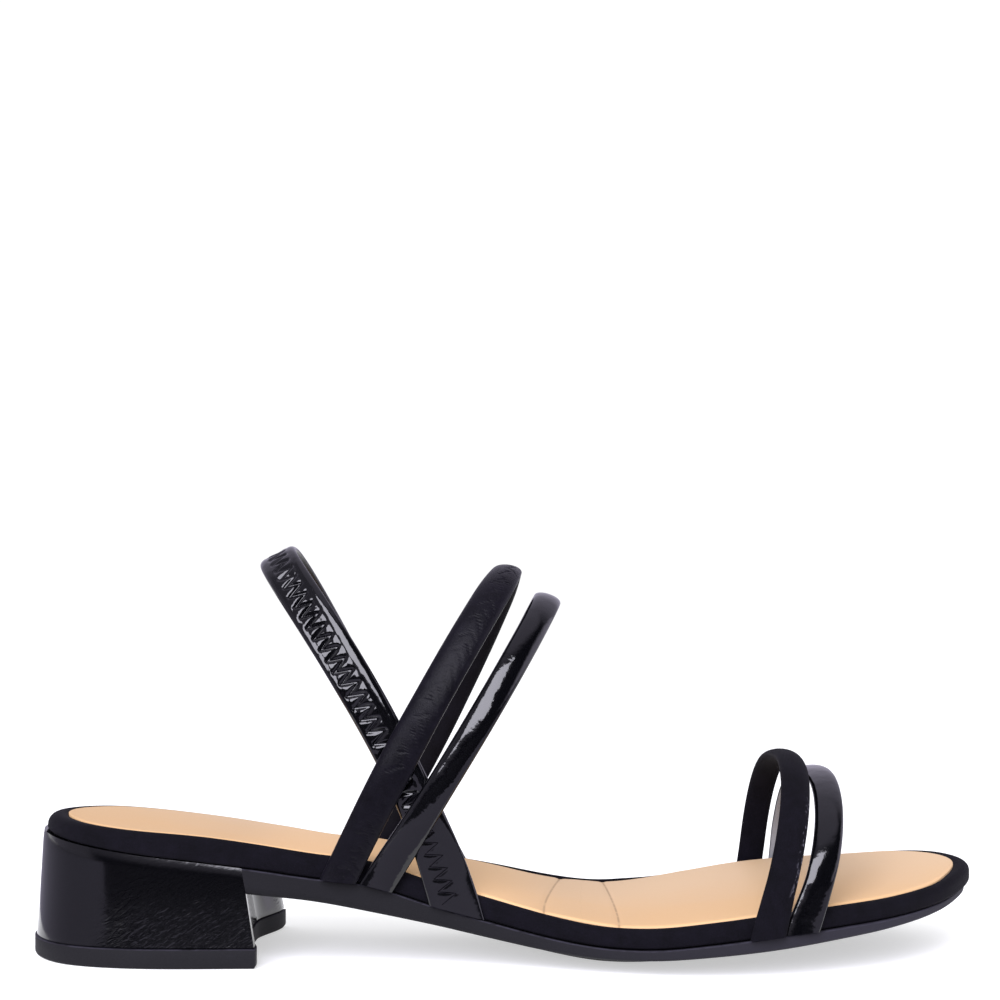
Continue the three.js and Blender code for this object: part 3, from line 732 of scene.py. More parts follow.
def heel_room_mesh():
    """The space that the heel takes from the outsole, with its clearance."""
    around = 2 * HEEL_FLARE + OUTSOLE_LEDGE
    low = heel_loop(0, around, SEAT_GAP)
    highest = FOREFOOT_SEAM + HEEL_RISE + RIM_HEIGHT
    high = heel_loop(highest, around, SEAT_GAP)
    rings = heel_closing(low, -1 * MM)[::-1]
    rings.append(ring_at(low, -1 * MM))
    rings.append(ring_at(high, highest))
    rings += heel_closing(high, highest)
    return ringed_mesh("heel_room", rings)


def cut_away(mesh, cutter_mesh):
    """The mesh without the space of the cutter."""
    body = placed("body_to_cut", mesh)
    cutter = placed("cutter", cutter_mesh)
    cut = body.modifiers.new("Cut", "BOOLEAN")
    cut.object = cutter
    cut.operation = "DIFFERENCE"
    cut.solver = "EXACT"
    graph = bpy.context.evaluated_depsgraph_get()
    result = bpy.data.meshes.new_from_object(body.evaluated_get(graph))
    for thing in (body, cutter):
        bpy.data.objects.remove(thing)
    return result


def outsole_mesh():
    def between(share):
        def height(x, y):
            low = tread_height(x, y)
            return low + share * (seam_height(x, y) - low)

        return height

    def side(share):
        rise, inset = quarter(share)
        loop = outline_loop(lambda along: OUTSOLE_ROUNDING * inset - ledge_at(along))
        return ring_at(loop, between(OUTSOLE_ROUND_SHARE * rise))

    tread = outline_loop(lambda along: OUTSOLE_ROUNDING - ledge_at(along))
    edge = outline_loop(lambda along: -ledge_at(along))
    chamfer = outline_loop(lambda along: OUTSOLE_CHAMFER - ledge_at(along))
    rings = closing_rings(tread, np.linspace(0.04, 1, 16), tread_height)[::-1]
    rings += [side(share) for share in np.linspace(0, 1, 6)]
    rings.append(ring_at(edge, lambda x, y: seam_height(x, y) - CHAMFER_DROP))
    rings.append(ring_at(chamfer, seam_height))
    rings += closing_rings(chamfer, CLOSING_SHARES, seam_height)
    return cut_away(ringed_mesh("outsole_rubber", rings), heel_room_mesh())


# Straps


def foot_half(side, x, z, at_ankle):
    along = along_at(x)
    sole = np.where(side < 0, outer_half(along), inner_half(along)) + SEAT_GAP
    ankle = np.where(side < 0, ANKLE_HALF_OUTER, ANKLE_HALF_INNER)
    over_seam = z - seam_edge(along, side)
    return sole + at_ankle * (ankle - sole) * smooth(0, ANKLE_REACH, over_seam)


def strap_path(strap, u):
    """The middle line of a strap at u from 0, the outer foot, to 1, the inner foot."""
    u = np.atleast_1d(np.asarray(u, dtype=float))
    side = np.where(u < 0.5, -1, 1)
    climb = 1 - np.abs(2 * u - 1)
    turn_start = strap.straight * STRAIGHT_PACE
    turn = np.clip((climb - turn_start) / (1 - turn_start), 0, 1) * (math.pi / 2)
    straight = climb <= turn_start
    bent_height = strap.straight + (1 - strap.straight) * np.sin(turn)
    height = np.where(straight, strap.straight * climb / turn_start, bent_height)
    spread = np.where(straight, 1, np.maximum(np.cos(turn), 0) ** LOOP_POWER)
    foot = np.where(side < 0, strap.outer_foot, strap.inner_foot)
    bow = np.where(side < 0, strap.bow_outer, strap.bow_inner)
    foot_x = HEEL_SEAT_BACK + SOLE_LENGTH * foot
    foot_z = seam_edge(foot, side)
    apex_x = HEEL_SEAT_BACK + SOLE_LENGTH * strap.apex_along
    tall = strap.height - foot_z
    x = foot_x + (apex_x - foot_x) * height + bow * tall * 4 * height * (1 - height)
    z = foot_z + tall * height
    layer = strap.over_sling * (SLING_THICKNESS - SEWN_DEPTH) * smooth(0, LAYER_SHARE, height)
    half = foot_half(side, x, z, strap.at_ankle) + layer + strap.thickness / 2
    y = side * half * spread + strap.apex_side * BALL_WIDTH * (1 - spread)
    return np.column_stack([x, y, z])


def run_along(points):
    """Lengths from the first point to each point of a line."""
    return np.concatenate([[0], np.cumsum(np.linalg.norm(np.diff(points, axis=0), axis=1))])


def unit(vectors):
    return vectors / np.linalg.norm(vectors, axis=-1, keepdims=True)


def strap_frames(strap, u):
    """Points, ways, crosswise and outward directions of a strap's middle line."""
    points = strap_path(strap, u)
    before = np.vstack([points[:1], points[:-1]])
    after = np.vstack([points[1:], points[-1:]])
    way = unit(after - before)
    apex = strap_path(strap, 0.5)[0]
    feet = strap_path(strap, [0, 1]).mean(axis=0)
    climb = unit((apex - feet) * (1, 0, 1))
    loop_way = np.cross((0, 1, 0), climb)
    level_way = np.array((np.sign(loop_way[0]), 0, 0))
    near_apex = strap.level * smooth(*NEAR_APEX, np.abs(u - 0.5))[:, None]
    width_way = loop_way + (level_way - loop_way) * near_apex
    out = unit(np.cross(width_way, way))
    across = np.cross(way, out)
    height = (points[:, 2] - points[0, 2]) / (strap.height - points[0, 2])
    low = strap.low_twist * smooth(*LOW_TWIST_RISES, height) * smooth(*LOW_TWIST_FALLS, height)
    turn = np.radians(strap.twist * smooth(*TWIST_RISES, height) + low)[:, None]
    cosine = np.cos(turn)
    sine = np.sin(turn)
    return points, way, across * cosine + out * sine, out * cosine - across * sine


def strap_surface(strap, steps, section, relief):
    """Rings of a strap with their places along and across it, cut off at the sole seam.

    section holds angles around the section, and relief gives the outward height at a place
    along and across the strap.
    """
    u = np.linspace(0, 1, steps)
    points, way, across_way, out_way = strap_frames(strap, u)
    along = run_along(points)
    near_foot = 1 - smooth(0, FOOT_ZONE, np.minimum(u, 1 - u))
    width = strap.width * (1 + (strap.spread - 1) * near_foot * (u < 0.5))
    width = width * (1 - strap.taper * smooth(TAPER_ZONE, 0, np.abs(u - 0.5)))
    thickness = strap.thickness * (1 + (FOOT_THINNING - 1) * near_foot)
    sine = np.sin(section)
    cosine = np.cos(section)
    crown = np.sqrt(1 - np.abs(sine) ** strap.crown)
    inner = -np.sqrt(1 - np.abs(sine) ** (strap.crown * INNER_FLATNESS))
    shape = np.where(cosine >= 0, crown, inner)
    across = width[:, None] / 2 * sine
    raised = relief(along[:, None] + 0 * across, across) * smooth(0, 0.35, cosine)
    depth = thickness[:, None] / 2 * shape + raised
    rings = points[:, None, :] + across_way[:, None, :] * across[..., None]
    rings = rings + out_way[:, None, :] * depth[..., None]
    clear = rings[..., 2] - seam_height(rings[..., 0], rings[..., 1]) - SEAT_GAP
    kept = np.flatnonzero((clear > LAST_RING_CLEAR).all(axis=1))
    first = kept[0]
    last = kept[-1]
    start, start_along = seam_cut(rings[first], -way[first], along[first], -1)
    end, end_along = seam_cut(rings[last], way[last], along[last], 1)
    all_rings = np.concatenate([start[::-1], rings[first : last + 1], end])
    rows = np.broadcast_to(along[:, None], across.shape)[first : last + 1]
    all_along = np.concatenate([start_along[::-1], rows, end_along])
    ends = len(start)
    all_across = np.vstack([across[first]] * ends + [across[first : last + 1]] + [across[last]] * ends)
    return all_rings, all_along, all_across


def seam_cut(ring, way, along, forwards):
    """Rings that carry a strap's end ring on along its way down to the sole seam."""
    run = np.zeros(len(ring))
    for _ in range(6):
        place = ring + way * run[:, None]
        run = run + (seam_height(place[:, 0], place[:, 1]) + SEAT_GAP - place[:, 2]) / way[2]
    shares = np.linspace(0, 1, SEAM_CUT_STEPS + 1)[1:, None]
    rings = ring[None] + way * (run * shares)[..., None]
    return rings, along + forwards * run * shares


def strap_mesh(name, strap, steps, section, relief):
    """The strap as a closed mesh. Its UV map holds the place along and across it in centimetres."""
    rings, along, across = strap_surface(strap, steps, section, relief)
    mesh = bpy.data.meshes.new(name)
    faces = ring_faces(len(rings), len(section), True)
    mesh.from_pydata(rings.reshape(-1, 3).tolist(), [], faces)
    layer = mesh.uv_layers.new(name="along_across")
    corners = np.zeros(len(mesh.loops), dtype=np.int64)
    mesh.loops.foreach_get("vertex_index", corners)
    places = np.column_stack([along.ravel(), across.ravel()]) / (10 * MM)
    layer.data.foreach_set("uv", places[corners].astype(np.float32).ravel())
    inside = smooth(-0.15, -0.35, np.cos(section))
    give_values(mesh, "inside", "FLOAT", np.broadcast_to(inside, along.shape))
    with edited(mesh) as shape:
        bmesh.ops.recalc_face_normals(shape, faces=shape.faces)
    shade_smooth(mesh, 50)
    return mesh


def even_section(count):
    return np.arange(count) / count * 2 * math.pi


def fine_outside_section(outer_count, inner_count):
    """Section angles that lie closer on the outer face than on the inner one."""
    outer = (np.arange(outer_count) / outer_count - 0.5) * math.pi
    inner = (np.arange(inner_count) / inner_count + 0.5) * math.pi
    return np.concatenate([outer, inner])


def wobble(along, across, length, seed):
    """Smooth noise over a strap, from -1 to 1, with lumps of the given length."""
    flat_along = np.asarray(along).ravel() / length
    flat_across = np.asarray(across).ravel() / length
    values = [noise.noise(Vector((a, b, seed))) for a, b in zip(flat_along, flat_across)]
    return np.reshape(values, np.shape(along))


def patent_relief(along, across):
    return PATENT_RELIEF * wobble(along, across, PATENT_LUMP, 3.7)


def suede_relief(along, across):
    return SUEDE_RELIEF * wobble(along, across, SUEDE_LUMP, 9.2)


def chance(rows, seed):
    """A number from 0 to 1 for each row, always the same."""
    return np.mod(np.sin(rows * 12.9898 + seed) * 437.585, 1)


def creased_relief(along, across):
    height = suede_relief(along, across)
    sway = CREASE_SWAY * wobble(along, across, CREASE_SWAY_LENGTH, 2.3)
    for family in STRAP_CREASES:
        place = (along + family.slant * across + sway) / family.pitch
        row = np.round(place)
        off = (place - row) * family.pitch
        reach = family.reach * (0.3 + 0.7 * chance(row, family.seed))
        middle = family.middle + CREASE_SCATTER * (chance(row, family.seed + 2) - 0.5)
        near = smooth(1, 0.5, np.abs(across - middle) / reach)
        depth = family.depth * (0.35 + 0.65 * chance(row, family.seed + 4))
        height = height - depth * np.exp(-((off / family.half) ** 2)) * near
    return height


# Nodes


class Value:
    """The output of a node, on which Python's operators add Math nodes."""

    def __init__(self, nodes, socket):
        self.nodes = nodes
        self.socket = socket

    def __add__(self, other):
        return self.nodes.math("ADD", self, other)

    __radd__ = __add__

    def __sub__(self, other):
        return self.nodes.math("SUBTRACT", self, other)

    def __rsub__(self, other):
        return self.nodes.math("SUBTRACT", other, self)

    def __mul__(self, other):
        return self.nodes.math("MULTIPLY", self, other)

    __rmul__ = __mul__

    def larger(self, other):
        return self.nodes.math("MAXIMUM", self, other)


def find_socket(sockets, key):
    if isinstance(key, int):
        return sockets[key]
    for socket in sockets:
        if socket.identifier == key:
            return socket
    return sockets[key]


class Nodes:
    """The nodes of a tree, added by expressions."""

    def __init__(self, tree):
        self.tree = tree
        tree.nodes.clear()

    def node(self, kind, settings=None, inputs=None, output=0):
        """Adds a node, its settings first and then the values or links of its sockets."""
        node = self.tree.nodes.new(kind)
        for key, value in (settings or {}).items():
            setattr(node, key, value)
        for key, value in (inputs or {}).items():
            socket = find_socket(node.inputs, key)
            if isinstance(value, Value):
                self.tree.links.new(value.socket, socket)
            else:
                socket.default_value = value
        return Value(self, find_socket(node.outputs, output)) if node.outputs else None

    def math(self, operation, first, second=0.0):
        return self.node("ShaderNodeMath", {"operation": operation}, {0: first, 1: second})


# Quilted band of the sling


def quilt_middle(along, length, sizes):
    """How far the quilted zone lies behind the middle of the sling, less so at the top."""
    from_top = np.abs(along - length / 2)
    return sizes.quilt_shift * (1 - 1.2 * smooth(*QUILT_CENTRED, from_top))


def quilt_stretch(along, length):
    """The puckers are flat where the sling is sewn down and full where it is elastic."""
    from_end = np.minimum(along, length - along)
    return SEWN_FULLNESS + (1 - SEWN_FULLNESS) * smooth(*QUILT_FULLER, from_end)


def quilt_relief(sizes, length, half_width):
    pitch = sizes.quilt_pitch
    reach = sizes.quilt_reach
    slant = math.atan2(pitch / 2, 2 * reach)

    def relief(along, across):
        place = (across + quilt_middle(along, length, sizes)) / reach
        inside = np.clip(place, -1, 1)
        phase = np.mod(along, pitch)
        rising = pitch * (inside + 1) / 4
        falling = pitch - rising
        turns = (-pitch, 0, pitch)
        steps = [np.abs(phase - line + turn) for line in (rising, falling) for turn in turns]
        near = np.minimum.reduce(steps) * math.cos(slant)
        outside = np.maximum(np.abs(place) - 1, 0) * reach
        distance = np.hypot(near, outside)
        puff = sizes.quilt_puff * (1 - np.exp(-((distance / sizes.quilt_groove) ** 2)))
        puff = puff * (1 + PUFF_CHANGE * wobble(along, across, PUFF_LENGTH, 5.1)) - sizes.quilt_sink
        top = smooth(*QUILT_FLATTER, np.abs(along - length / 2))
        stretch = quilt_stretch(along, length) * (1 - TOP_FLATNESS * top)
        in_zone = smooth(1.5, 1.0, np.abs(place))
        ripple = SLING_RIPPLE * wobble(along, across, SLING_RIPPLE_LENGTH, 8.4)
        inward = (np.abs(place) - BORDER_FROM) * reach
        outward = half_width - np.abs(across)
        balance = (inward - outward) / np.maximum(inward + outward, LEAST_BORDER)
        bead = sizes.bead_rise * np.maximum(0, 1 - balance**2) * (inward > 0)
        return (puff * in_zone + ripple + bead) * stretch

    return relief


def strap_length(strap):
    points = strap_path(strap, np.linspace(0, 1, PATH_STEPS))
    return float(np.linalg.norm(np.diff(points, axis=0), axis=1).sum())


def quilt_guide(strap, sizes):
    """A line of points, two a pitch, in the middle of the quilted zone, with its directions."""
    u = np.linspace(0, 1, PATH_STEPS)
    points, _, across_way, out_way = strap_frames(strap, u)
    along = run_along(points)
    stitch = sizes.quilt_pitch / 2
    stitches = np.arange(2, math.floor(along[-1] / stitch) - 1) * stitch
    rows = np.searchsorted(along, stitches)
    stretch = quilt_stretch(along[rows], along[-1])
    middle = quilt_middle(along[rows], along[-1], sizes)
    depth = strap.thickness / 2 - sizes.quilt_sink * stretch + sizes.thread_radius * 0.3
    places = points[rows] - across_way[rows] * middle[:, None] + out_way[rows] * depth[:, None]
    mesh = bpy.data.meshes.new("quilt_guide")
    mesh.from_pydata(places.tolist(), [(i, i + 1) for i in range(len(places) - 1)], [])
    give_values(mesh, "crosswise", "FLOAT_VECTOR", across_way[rows])
    return mesh


def zigzag_tree(material):
    """Geometry nodes: a thread that swings from side to side of a guide line."""
    tree = bpy.data.node_groups.new("Zigzag thread", "GeometryNodeTree")
    tree.is_modifier = True
    tree.interface.new_socket("Geometry", in_out="INPUT", socket_type="NodeSocketGeometry")
    for name in ("Reach", "Thread Radius"):
        socket = tree.interface.new_socket(name, in_out="INPUT", socket_type="NodeSocketFloat")
        socket.subtype = "DISTANCE"
        socket.min_value = 0
    tree.interface.new_socket("Geometry", in_out="OUTPUT", socket_type="NodeSocketGeometry")
    nodes = Nodes(tree)

    def grow(kind, inputs, output):
        return nodes.node(kind, inputs=inputs, output=output)

    line = nodes.node("NodeGroupInput", output="Geometry")
    reach = nodes.node("NodeGroupInput", output="Reach")
    radius = nodes.node("NodeGroupInput", output="Thread Radius")
    curve = grow("GeometryNodeMeshToCurve", {"Mesh": line}, "Curve")
    settings = {"data_type": "FLOAT_VECTOR"}
    named = {"Name": "crosswise"}
    crosswise = nodes.node("GeometryNodeInputNamedAttribute", settings, named, "Attribute")
    parity = nodes.math("MODULO", grow("GeometryNodeInputIndex", {}, "Index"), 2.0)
    swing = {0: crosswise, "Scale": (parity * 2.0 - 1.0) * reach}
    offset = nodes.node("ShaderNodeVectorMath", {"operation": "SCALE"}, swing, "Vector")
    moved = grow("GeometryNodeSetPosition", {"Geometry": curve, "Offset": offset}, "Geometry")
    fine = grow("GeometryNodeSubdivideCurve", {"Curve": moved, "Cuts": THREAD_CUTS}, "Curve")
    circle = {"Resolution": THREAD_SIDES, "Radius": radius}
    section = grow("GeometryNodeCurvePrimitiveCircle", circle, "Curve")
    swept = {"Curve": fine, "Profile Curve": section, "Fill Caps": True}
    tube = grow("GeometryNodeCurveToMesh", swept, "Mesh")
    whole = grow("GeometryNodeRealizeInstances", {"Geometry": tube}, "Geometry")
    dressed = grow("GeometryNodeSetMaterial", {"Geometry": whole, "Material": material}, "Geometry")
    nodes.node("NodeGroupOutput", inputs={"Geometry": dressed})
    return tree


def grown_mesh(name, guide, tree, values):
    """The plain mesh that a geometry nodes tree makes of a guide mesh."""
    grower = placed(name + "_guide", guide)
    modifier = grower.modifiers.new("Grow", "NODES")
    modifier.node_group = tree
    for item in tree.interface.items_tree:
        if item.item_type == "SOCKET" and item.in_out == "INPUT" and item.name in values:
            modifier[item.identifier] = values[item.name]
    graph = bpy.context.evaluated_depsgraph_get()
    mesh = bpy.data.meshes.new_from_object(grower.evaluated_get(graph))
    mesh.name = name
    grower.modifiers.remove(modifier)
    bpy.data.objects.remove(grower)
    return mesh


# Shaders


class Shader(Nodes):
    """The nodes of a material or of the world."""

    def __init__(self, owner):
        owner.use_nodes = True
        self.owner = owner
        super().__init__(owner.node_tree)

    def ramp(self, value, low, high):
        """0 below low and 1 above high, with a smooth step between."""
        settings = {"interpolation_type": "SMOOTHSTEP"}
        inputs = {"Value": value, "From Min": low, "From Max": high}
        return self.node("ShaderNodeMapRange", settings, inputs, "Result")

    def mix(self, factor, first, second):
        inputs = {"Factor_Float": factor, "A_Color": first, "B_Color": second}
        return self.node("ShaderNodeMix", {"data_type": "RGBA"}, inputs, "Result_Color")

    def place(self):
        return self.node("ShaderNodeTexCoord", output="Object")

    def axis(self, vector, name):
        return self.node("ShaderNodeSeparateXYZ", inputs={"Vector": vector}, output=name)

    def turned(self, vector, rotation, scale):
        """Coordinates for a pattern that is turned first and then stretched along its own axes."""
        inputs = {"Vector": vector, "Rotation": rotation, "Scale": scale}
        return self.node("ShaderNodeMapping", {"vector_type": "TEXTURE"}, inputs, "Vector")

    def noise(self, vector, scale, detail=2.0, roughness=0.5, distortion=0.0):
        inputs = {"Vector": vector, "Scale": scale, "Detail": detail}
        inputs |= {"Roughness": roughness, "Distortion": distortion}
        return self.node("ShaderNodeTexNoise", inputs=inputs, output="Fac")

    def bump(self, height, distance, strength=1.0):
        inputs = {"Height": height, "Distance": distance, "Strength": strength}
        return self.node("ShaderNodeBump", inputs=inputs, output="Normal")

    def surface(self, inputs):
        shader = self.node("ShaderNodeBsdfPrincipled", inputs=inputs, output="BSDF")
        self.node("ShaderNodeOutputMaterial", inputs={"Surface": shader})
        return self.owner


def colour(values, gain=1.0):
    return (values[0] * gain, values[1] * gain, values[2] * gain, 1.0)


def suede_material(name, tint, gloss=0.08, roughness=0.8, scuffed=0.0, scuff_tint=None):
    """Short matte nap: fine fibres, brushed clouds and a faint sheen. One edge may be scuffed."""
    shader = Shader(bpy.data.materials.new(name))
    place = shader.place()
    fibres = shader.noise(place, 3800, 3, 0.65)
    clouds = shader.noise(place, 190, 3, 0.6, 0.6)
    tone = shader.ramp(fibres * 0.55 + clouds * 0.45, 0.3, 0.72)
    base = shader.mix(tone, colour(tint, 0.6), colour(tint, 1.7))
    inside = shader.node("ShaderNodeAttribute", {"attribute_name": "inside"}, output="Fac")
    if scuffed:
        spot = shader.node("ShaderNodeUVMap", {"uv_map": "along_across"}, output="UV")
        along = shader.axis(spot, "X")
        edge = shader.ramp(shader.axis(spot, "Y"), 0.2, 0.34)
        low = shader.ramp(along, 4.2, 3.2) * shader.ramp(along, 0.6, 1.2)
        streaks = shader.noise(shader.turned(place, (0, 0.5, 0), (0.4, 0.4, 1.5)), 500, 3)
        marks = shader.ramp(streaks, 0.55, 0.64)
        base = shader.mix(edge * low * marks * scuffed, base, colour(scuff_tint))
    height = fibres + clouds * 0.5
    return shader.surface(
        {
            "Base Color": base,
            "Roughness": roughness + 0.15 * clouds + 0.4 * inside,
            "Specular IOR Level": gloss,
            "Sheen Weight": 0.02,
            "Sheen Roughness": 0.45,
            "Sheen Tint": (0.72, 0.70, 0.80, 1),
            "Normal": shader.bump(height, 0.12 * MM, 0.7),
        }
    )


def patent_material(name, tint, ripple, inside_tint):
    """Lacquered leather: a wet gloss over soft ripples and pores. The inner face may be lined."""
    shader = Shader(bpy.data.materials.new(name))
    place = shader.place()
    broad = shader.noise(place, 210, 2, 0.5)
    fine = shader.noise(place, 620, 2, 0.5, 0.3)
    haze = shader.noise(place, 90, 2)
    height = broad * 0.9 + fine * 0.42
    inside = shader.node("ShaderNodeAttribute", {"attribute_name": "inside"}, output="Fac")
    base = shader.mix(haze, colour(tint, 0.8), colour(tint, 1.3))
    return shader.surface(
        {
            "Base Color": shader.mix(inside, base, colour(inside_tint)),
            "Roughness": 0.06 + 0.06 * haze + 0.3 * inside,
            "Specular IOR Level": 0.5,
            "Normal": shader.bump(height, ripple),
        }
    )


def heel_cover_material(name, tint):
    """Patent leather drawn over the block, wrinkled on its sides at the front and most low down."""
    shader = Shader(bpy.data.materials.new(name))
    place = shader.place()
    along = shader.axis(place, "X")
    up = shader.axis(place, "Z")
    slanted = shader.turned(place, (0, -0.6, 0), (1, 1, 0.38))
    upright = shader.turned(place, (0, 0.1, 0), (0.35, 0.35, 1.4))
    wrinkles = shader.noise(slanted, 380, 2, 0.5, 0.5)
    folds = shader.noise(upright, 240, 3, 0.5, 0.4)
    pores = shader.noise(place, 1500, 2)
    side = shader.axis(place, "Y")
    front = shader.ramp(along, -0.016, 0.006) * shader.ramp(side.larger(0 - side), 0.018, 0.023)
    low = 1 - shader.ramp(up, 0.012, 0.025)
    back = 1 - shader.ramp(along, -0.016, 0.006)
    height = wrinkles * front * (0.2 + 0.8 * low) + folds * back * 0.16 + pores * 0.02
    return shader.surface(
        {
            "Base Color": colour(tint),
            "Roughness": 0.07 + 0.06 * pores + 0.05 * front * low,
            "Specular IOR Level": 0.5,
            "Normal": shader.bump(height, 0.09 * MM),
        }
    )


def rubber_material(name, tint):
    """Matte moulded rubber with a fine grain and faint scuffs. Painted light makes it lighter towards the
    front of the sole and paints a highlight, broken up by the scuffs, on faces that look up.
    """
    shader = Shader(bpy.data.materials.new(name))
    place = shader.place()
    grain = shader.noise(place, 2600, 3, 0.6)
    clouds = shader.noise(place, 120, 3, 0.6)
    scuffs = shader.noise(shader.turned(place, (0, 0, 0), (1, 1, 0.2)), 260, 4, 0.7)
    worn = shader.ramp(scuffs, 0.62, 0.78)
    base = shader.mix(clouds, colour(tint, 0.65), colour(tint, 0.95))
    base = shader.mix(worn * 0.35, base, colour(tint, 2.2))
    # Painted light: the rubber is painted lighter towards the front of the sole.
    painted_front_light = shader.ramp(shader.axis(place, "X"), 0.08, 0.2)
    base = shader.mix(painted_front_light, base, colour(tint, 2.9))
    # Painted highlight: faces that look up, such as the outsole's top edge, are painted much lighter,
    # broken up by the scuff pattern.
    normal = shader.node("ShaderNodeNewGeometry", output="True Normal")
    painted_top_highlight = shader.ramp(shader.axis(normal, "Z"), 0.2, 0.8) * shader.ramp(scuffs, 0.3, 0.6)
    base = shader.mix(painted_top_highlight * 0.8, base, colour(tint, 5))
    return shader.surface(
        {
            "Base Color": base,
            "Roughness": 0.6 + 0.2 * grain,
            "Specular IOR Level": 0.2,
            "Normal": shader.bump(grain + scuffs * 0.3, 0.08 * MM, 0.6),
        }
    )


def lining_material(name, tint, warm_tint):
    """Tan lining leather, warmer along the outer side, with a fine grain. Shade is painted along the
    creases and towards the heel end, and light is painted between heel and ball.
    """
    shader = Shader(bpy.data.materials.new(name))
    place = shader.place()
    along = shader.axis(place, "X")
    side = shader.axis(place, "Y")
    clouds = shader.noise(place, 42, 3, 0.55, 0.4)
    grain = shader.noise(place, 1700, 3, 0.6)
    # Painted shade: towards the heel end the lining is painted darker and warmer.
    painted_heel_shade = shader.ramp(along, 0.06, -0.03)
    warm = shader.ramp(side + (clouds - 0.5) * 0.02 - painted_heel_shade * 0.022, 0.022, -0.03)
    base = shader.mix(warm, colour(tint), colour(warm_tint))
    base = shader.mix(clouds * 0.25, base, colour(tint, 0.94))
    # Painted shade: a thin dark line is painted along the bottom of each crease, broken up by noise.
    off = shader.node("ShaderNodeAttribute", {"attribute_name": "off_crease"}, output="Fac")
    apart = off.larger(0 - off)
    broken = shader.ramp(shader.noise(place, 260, 2), 0.25, 0.5)
    crease = shader.ramp(apart, CREASE_SHADE_LINE, 0.06 * MM) * (0.2 + 0.4 * broken)
    base = shader.mix(crease, base, colour(warm_tint, 0.38))
    base = shader.mix(painted_heel_shade * 0.22, base, colour(warm_tint, 0.5))
    # Painted light: the lining between heel and ball is painted lighter.
    painted_middle_light = shader.ramp(along, 0.02, 0.045) * shader.ramp(along, 0.11, 0.085)
    base = shader.mix(painted_middle_light * 0.5, base, colour(warm_tint, 1.27))
    return shader.surface(
        {
            "Base Color": base,
            "Roughness": 0.5 + 0.15 * grain,
            "Specular IOR Level": 0.35,
            "Normal": shader.bump(grain + clouds, 0.05 * MM, 0.5),
        }
    )


# Settings that a user may change


class SandalSizes(bpy.types.PropertyGroup):
    """Sizes of the quilting and of the finishes."""

    quilt_pitch: FloatProperty(
        name="Quilting pitch",
        description="Length of one zigzag along the sling",
        default=3.4 * MM,
        unit="LENGTH",
    )
    quilt_reach: FloatProperty(
        name="Quilting reach",
        description="How far the zigzag goes to each side of its middle line",
        default=2.1 * MM,
        unit="LENGTH",
    )
    quilt_shift: FloatProperty(
        name="Quilting shift",
        description="How far the quilted zone lies behind the middle of the sling",
        default=0.9 * MM,
        unit="LENGTH",
    )
    quilt_puff: FloatProperty(
        name="Quilting height",
        description="How far the puckers stand out of the stitched grooves",
        default=0.62 * MM,
        unit="LENGTH",
    )
    quilt_groove: FloatProperty(
        name="Groove width",
        description="Half width of the groove along each stitch",
        default=0.55 * MM,
        unit="LENGTH",
    )
    quilt_sink: FloatProperty(
        name="Quilting sink",
        description="How far the stitched grooves lie below the plain surface",
        default=0.3 * MM,
        unit="LENGTH",
    )
    bead_rise: FloatProperty(
        name="Border rise",
        description="How far the plain borders of the sling are padded out",
        default=0.34 * MM,
        unit="LENGTH",
    )
    thread_radius: FloatProperty(
        name="Thread radius",
        description="Half the thickness of the zigzag thread",
        default=0.08 * MM,
        unit="LENGTH",
    )
    patent_ripple: FloatProperty(
        name="Patent ripple",
        description="Height of the soft ripples in the patent leather",
        default=0.1 * MM,
        unit="LENGTH",
    )
    strap_steps: IntProperty(
        name="Strap steps",
        description="Rings along each plain strap",
        default=320,
        min=40,
    )
    sling_steps: IntProperty(
        name="Sling steps",
        description="Rings along the quilted sling",
        default=1150,
        min=200,
    )


class SandalColours(bpy.types.PropertyGroup):
    """Colours of the materials, linear."""

    suede: FloatVectorProperty(
        name="Suede",
        description="Black suede of the rim and of two straps",
        default=(0.0027, 0.0023, 0.0044),
        subtype="COLOR",
    )
    scuffs: FloatVectorProperty(
        name="Scuffs",
        description="Pale scuffs along the edge of the rear strap over the toes",
        default=(0.09, 0.085, 0.11),
        subtype="COLOR",
    )
    patent: FloatVectorProperty(
        name="Patent leather",
        description="Black patent leather under its lacquer",
        default=(0.0013, 0.0013, 0.0019),
        subtype="COLOR",
    )
    rubber: FloatVectorProperty(
        name="Rubber",
        description="Rubber of the outsole and the lift",
        default=(0.006, 0.0055, 0.0082),
        subtype="COLOR",
    )
    lining: FloatVectorProperty(
        name="Lining",
        description="Tan lining leather on the inner side",
        default=(0.53, 0.368, 0.228),
        subtype="COLOR",
    )
    strap_lining: FloatVectorProperty(
        name="Strap lining",
        description="Pale inner face of the front strap over the toes",
        default=(0.2, 0.2, 0.215),
        subtype="COLOR",
    )
    # Besides the warm outer side, this colour is darkened for the shade painted in the creases and towards
    # the heel end, and lightened for the light painted between heel and ball.
    lining_warm: FloatVectorProperty(
        name="Warm lining",
        description="Tan lining leather on the outer side",
        default=(0.565, 0.35, 0.172),
        subtype="COLOR",
    )


# Operators


class SANDAL_OT_footbed(bpy.types.Operator):
    """Builds the suede rim and the insole"""

    bl_idname = "sandal.footbed"
    bl_label = "Footbed"

    def execute(self, context):
        colours = context.scene.sandal_colours
        rim = rim_mesh()
        shade_smooth(rim)
        suede = suede_material("rim_suede", colours.suede)
        add_piece("footbed_rim_suede", rim, "footbed_rim", suede)
        lining = insole_mesh()
        shade_smooth(lining)
        tan = lining_material("tan_lining", colours.lining, colours.lining_warm)
        add_piece("insole_lining", lining, "insole", tan)
        return {"FINISHED"}


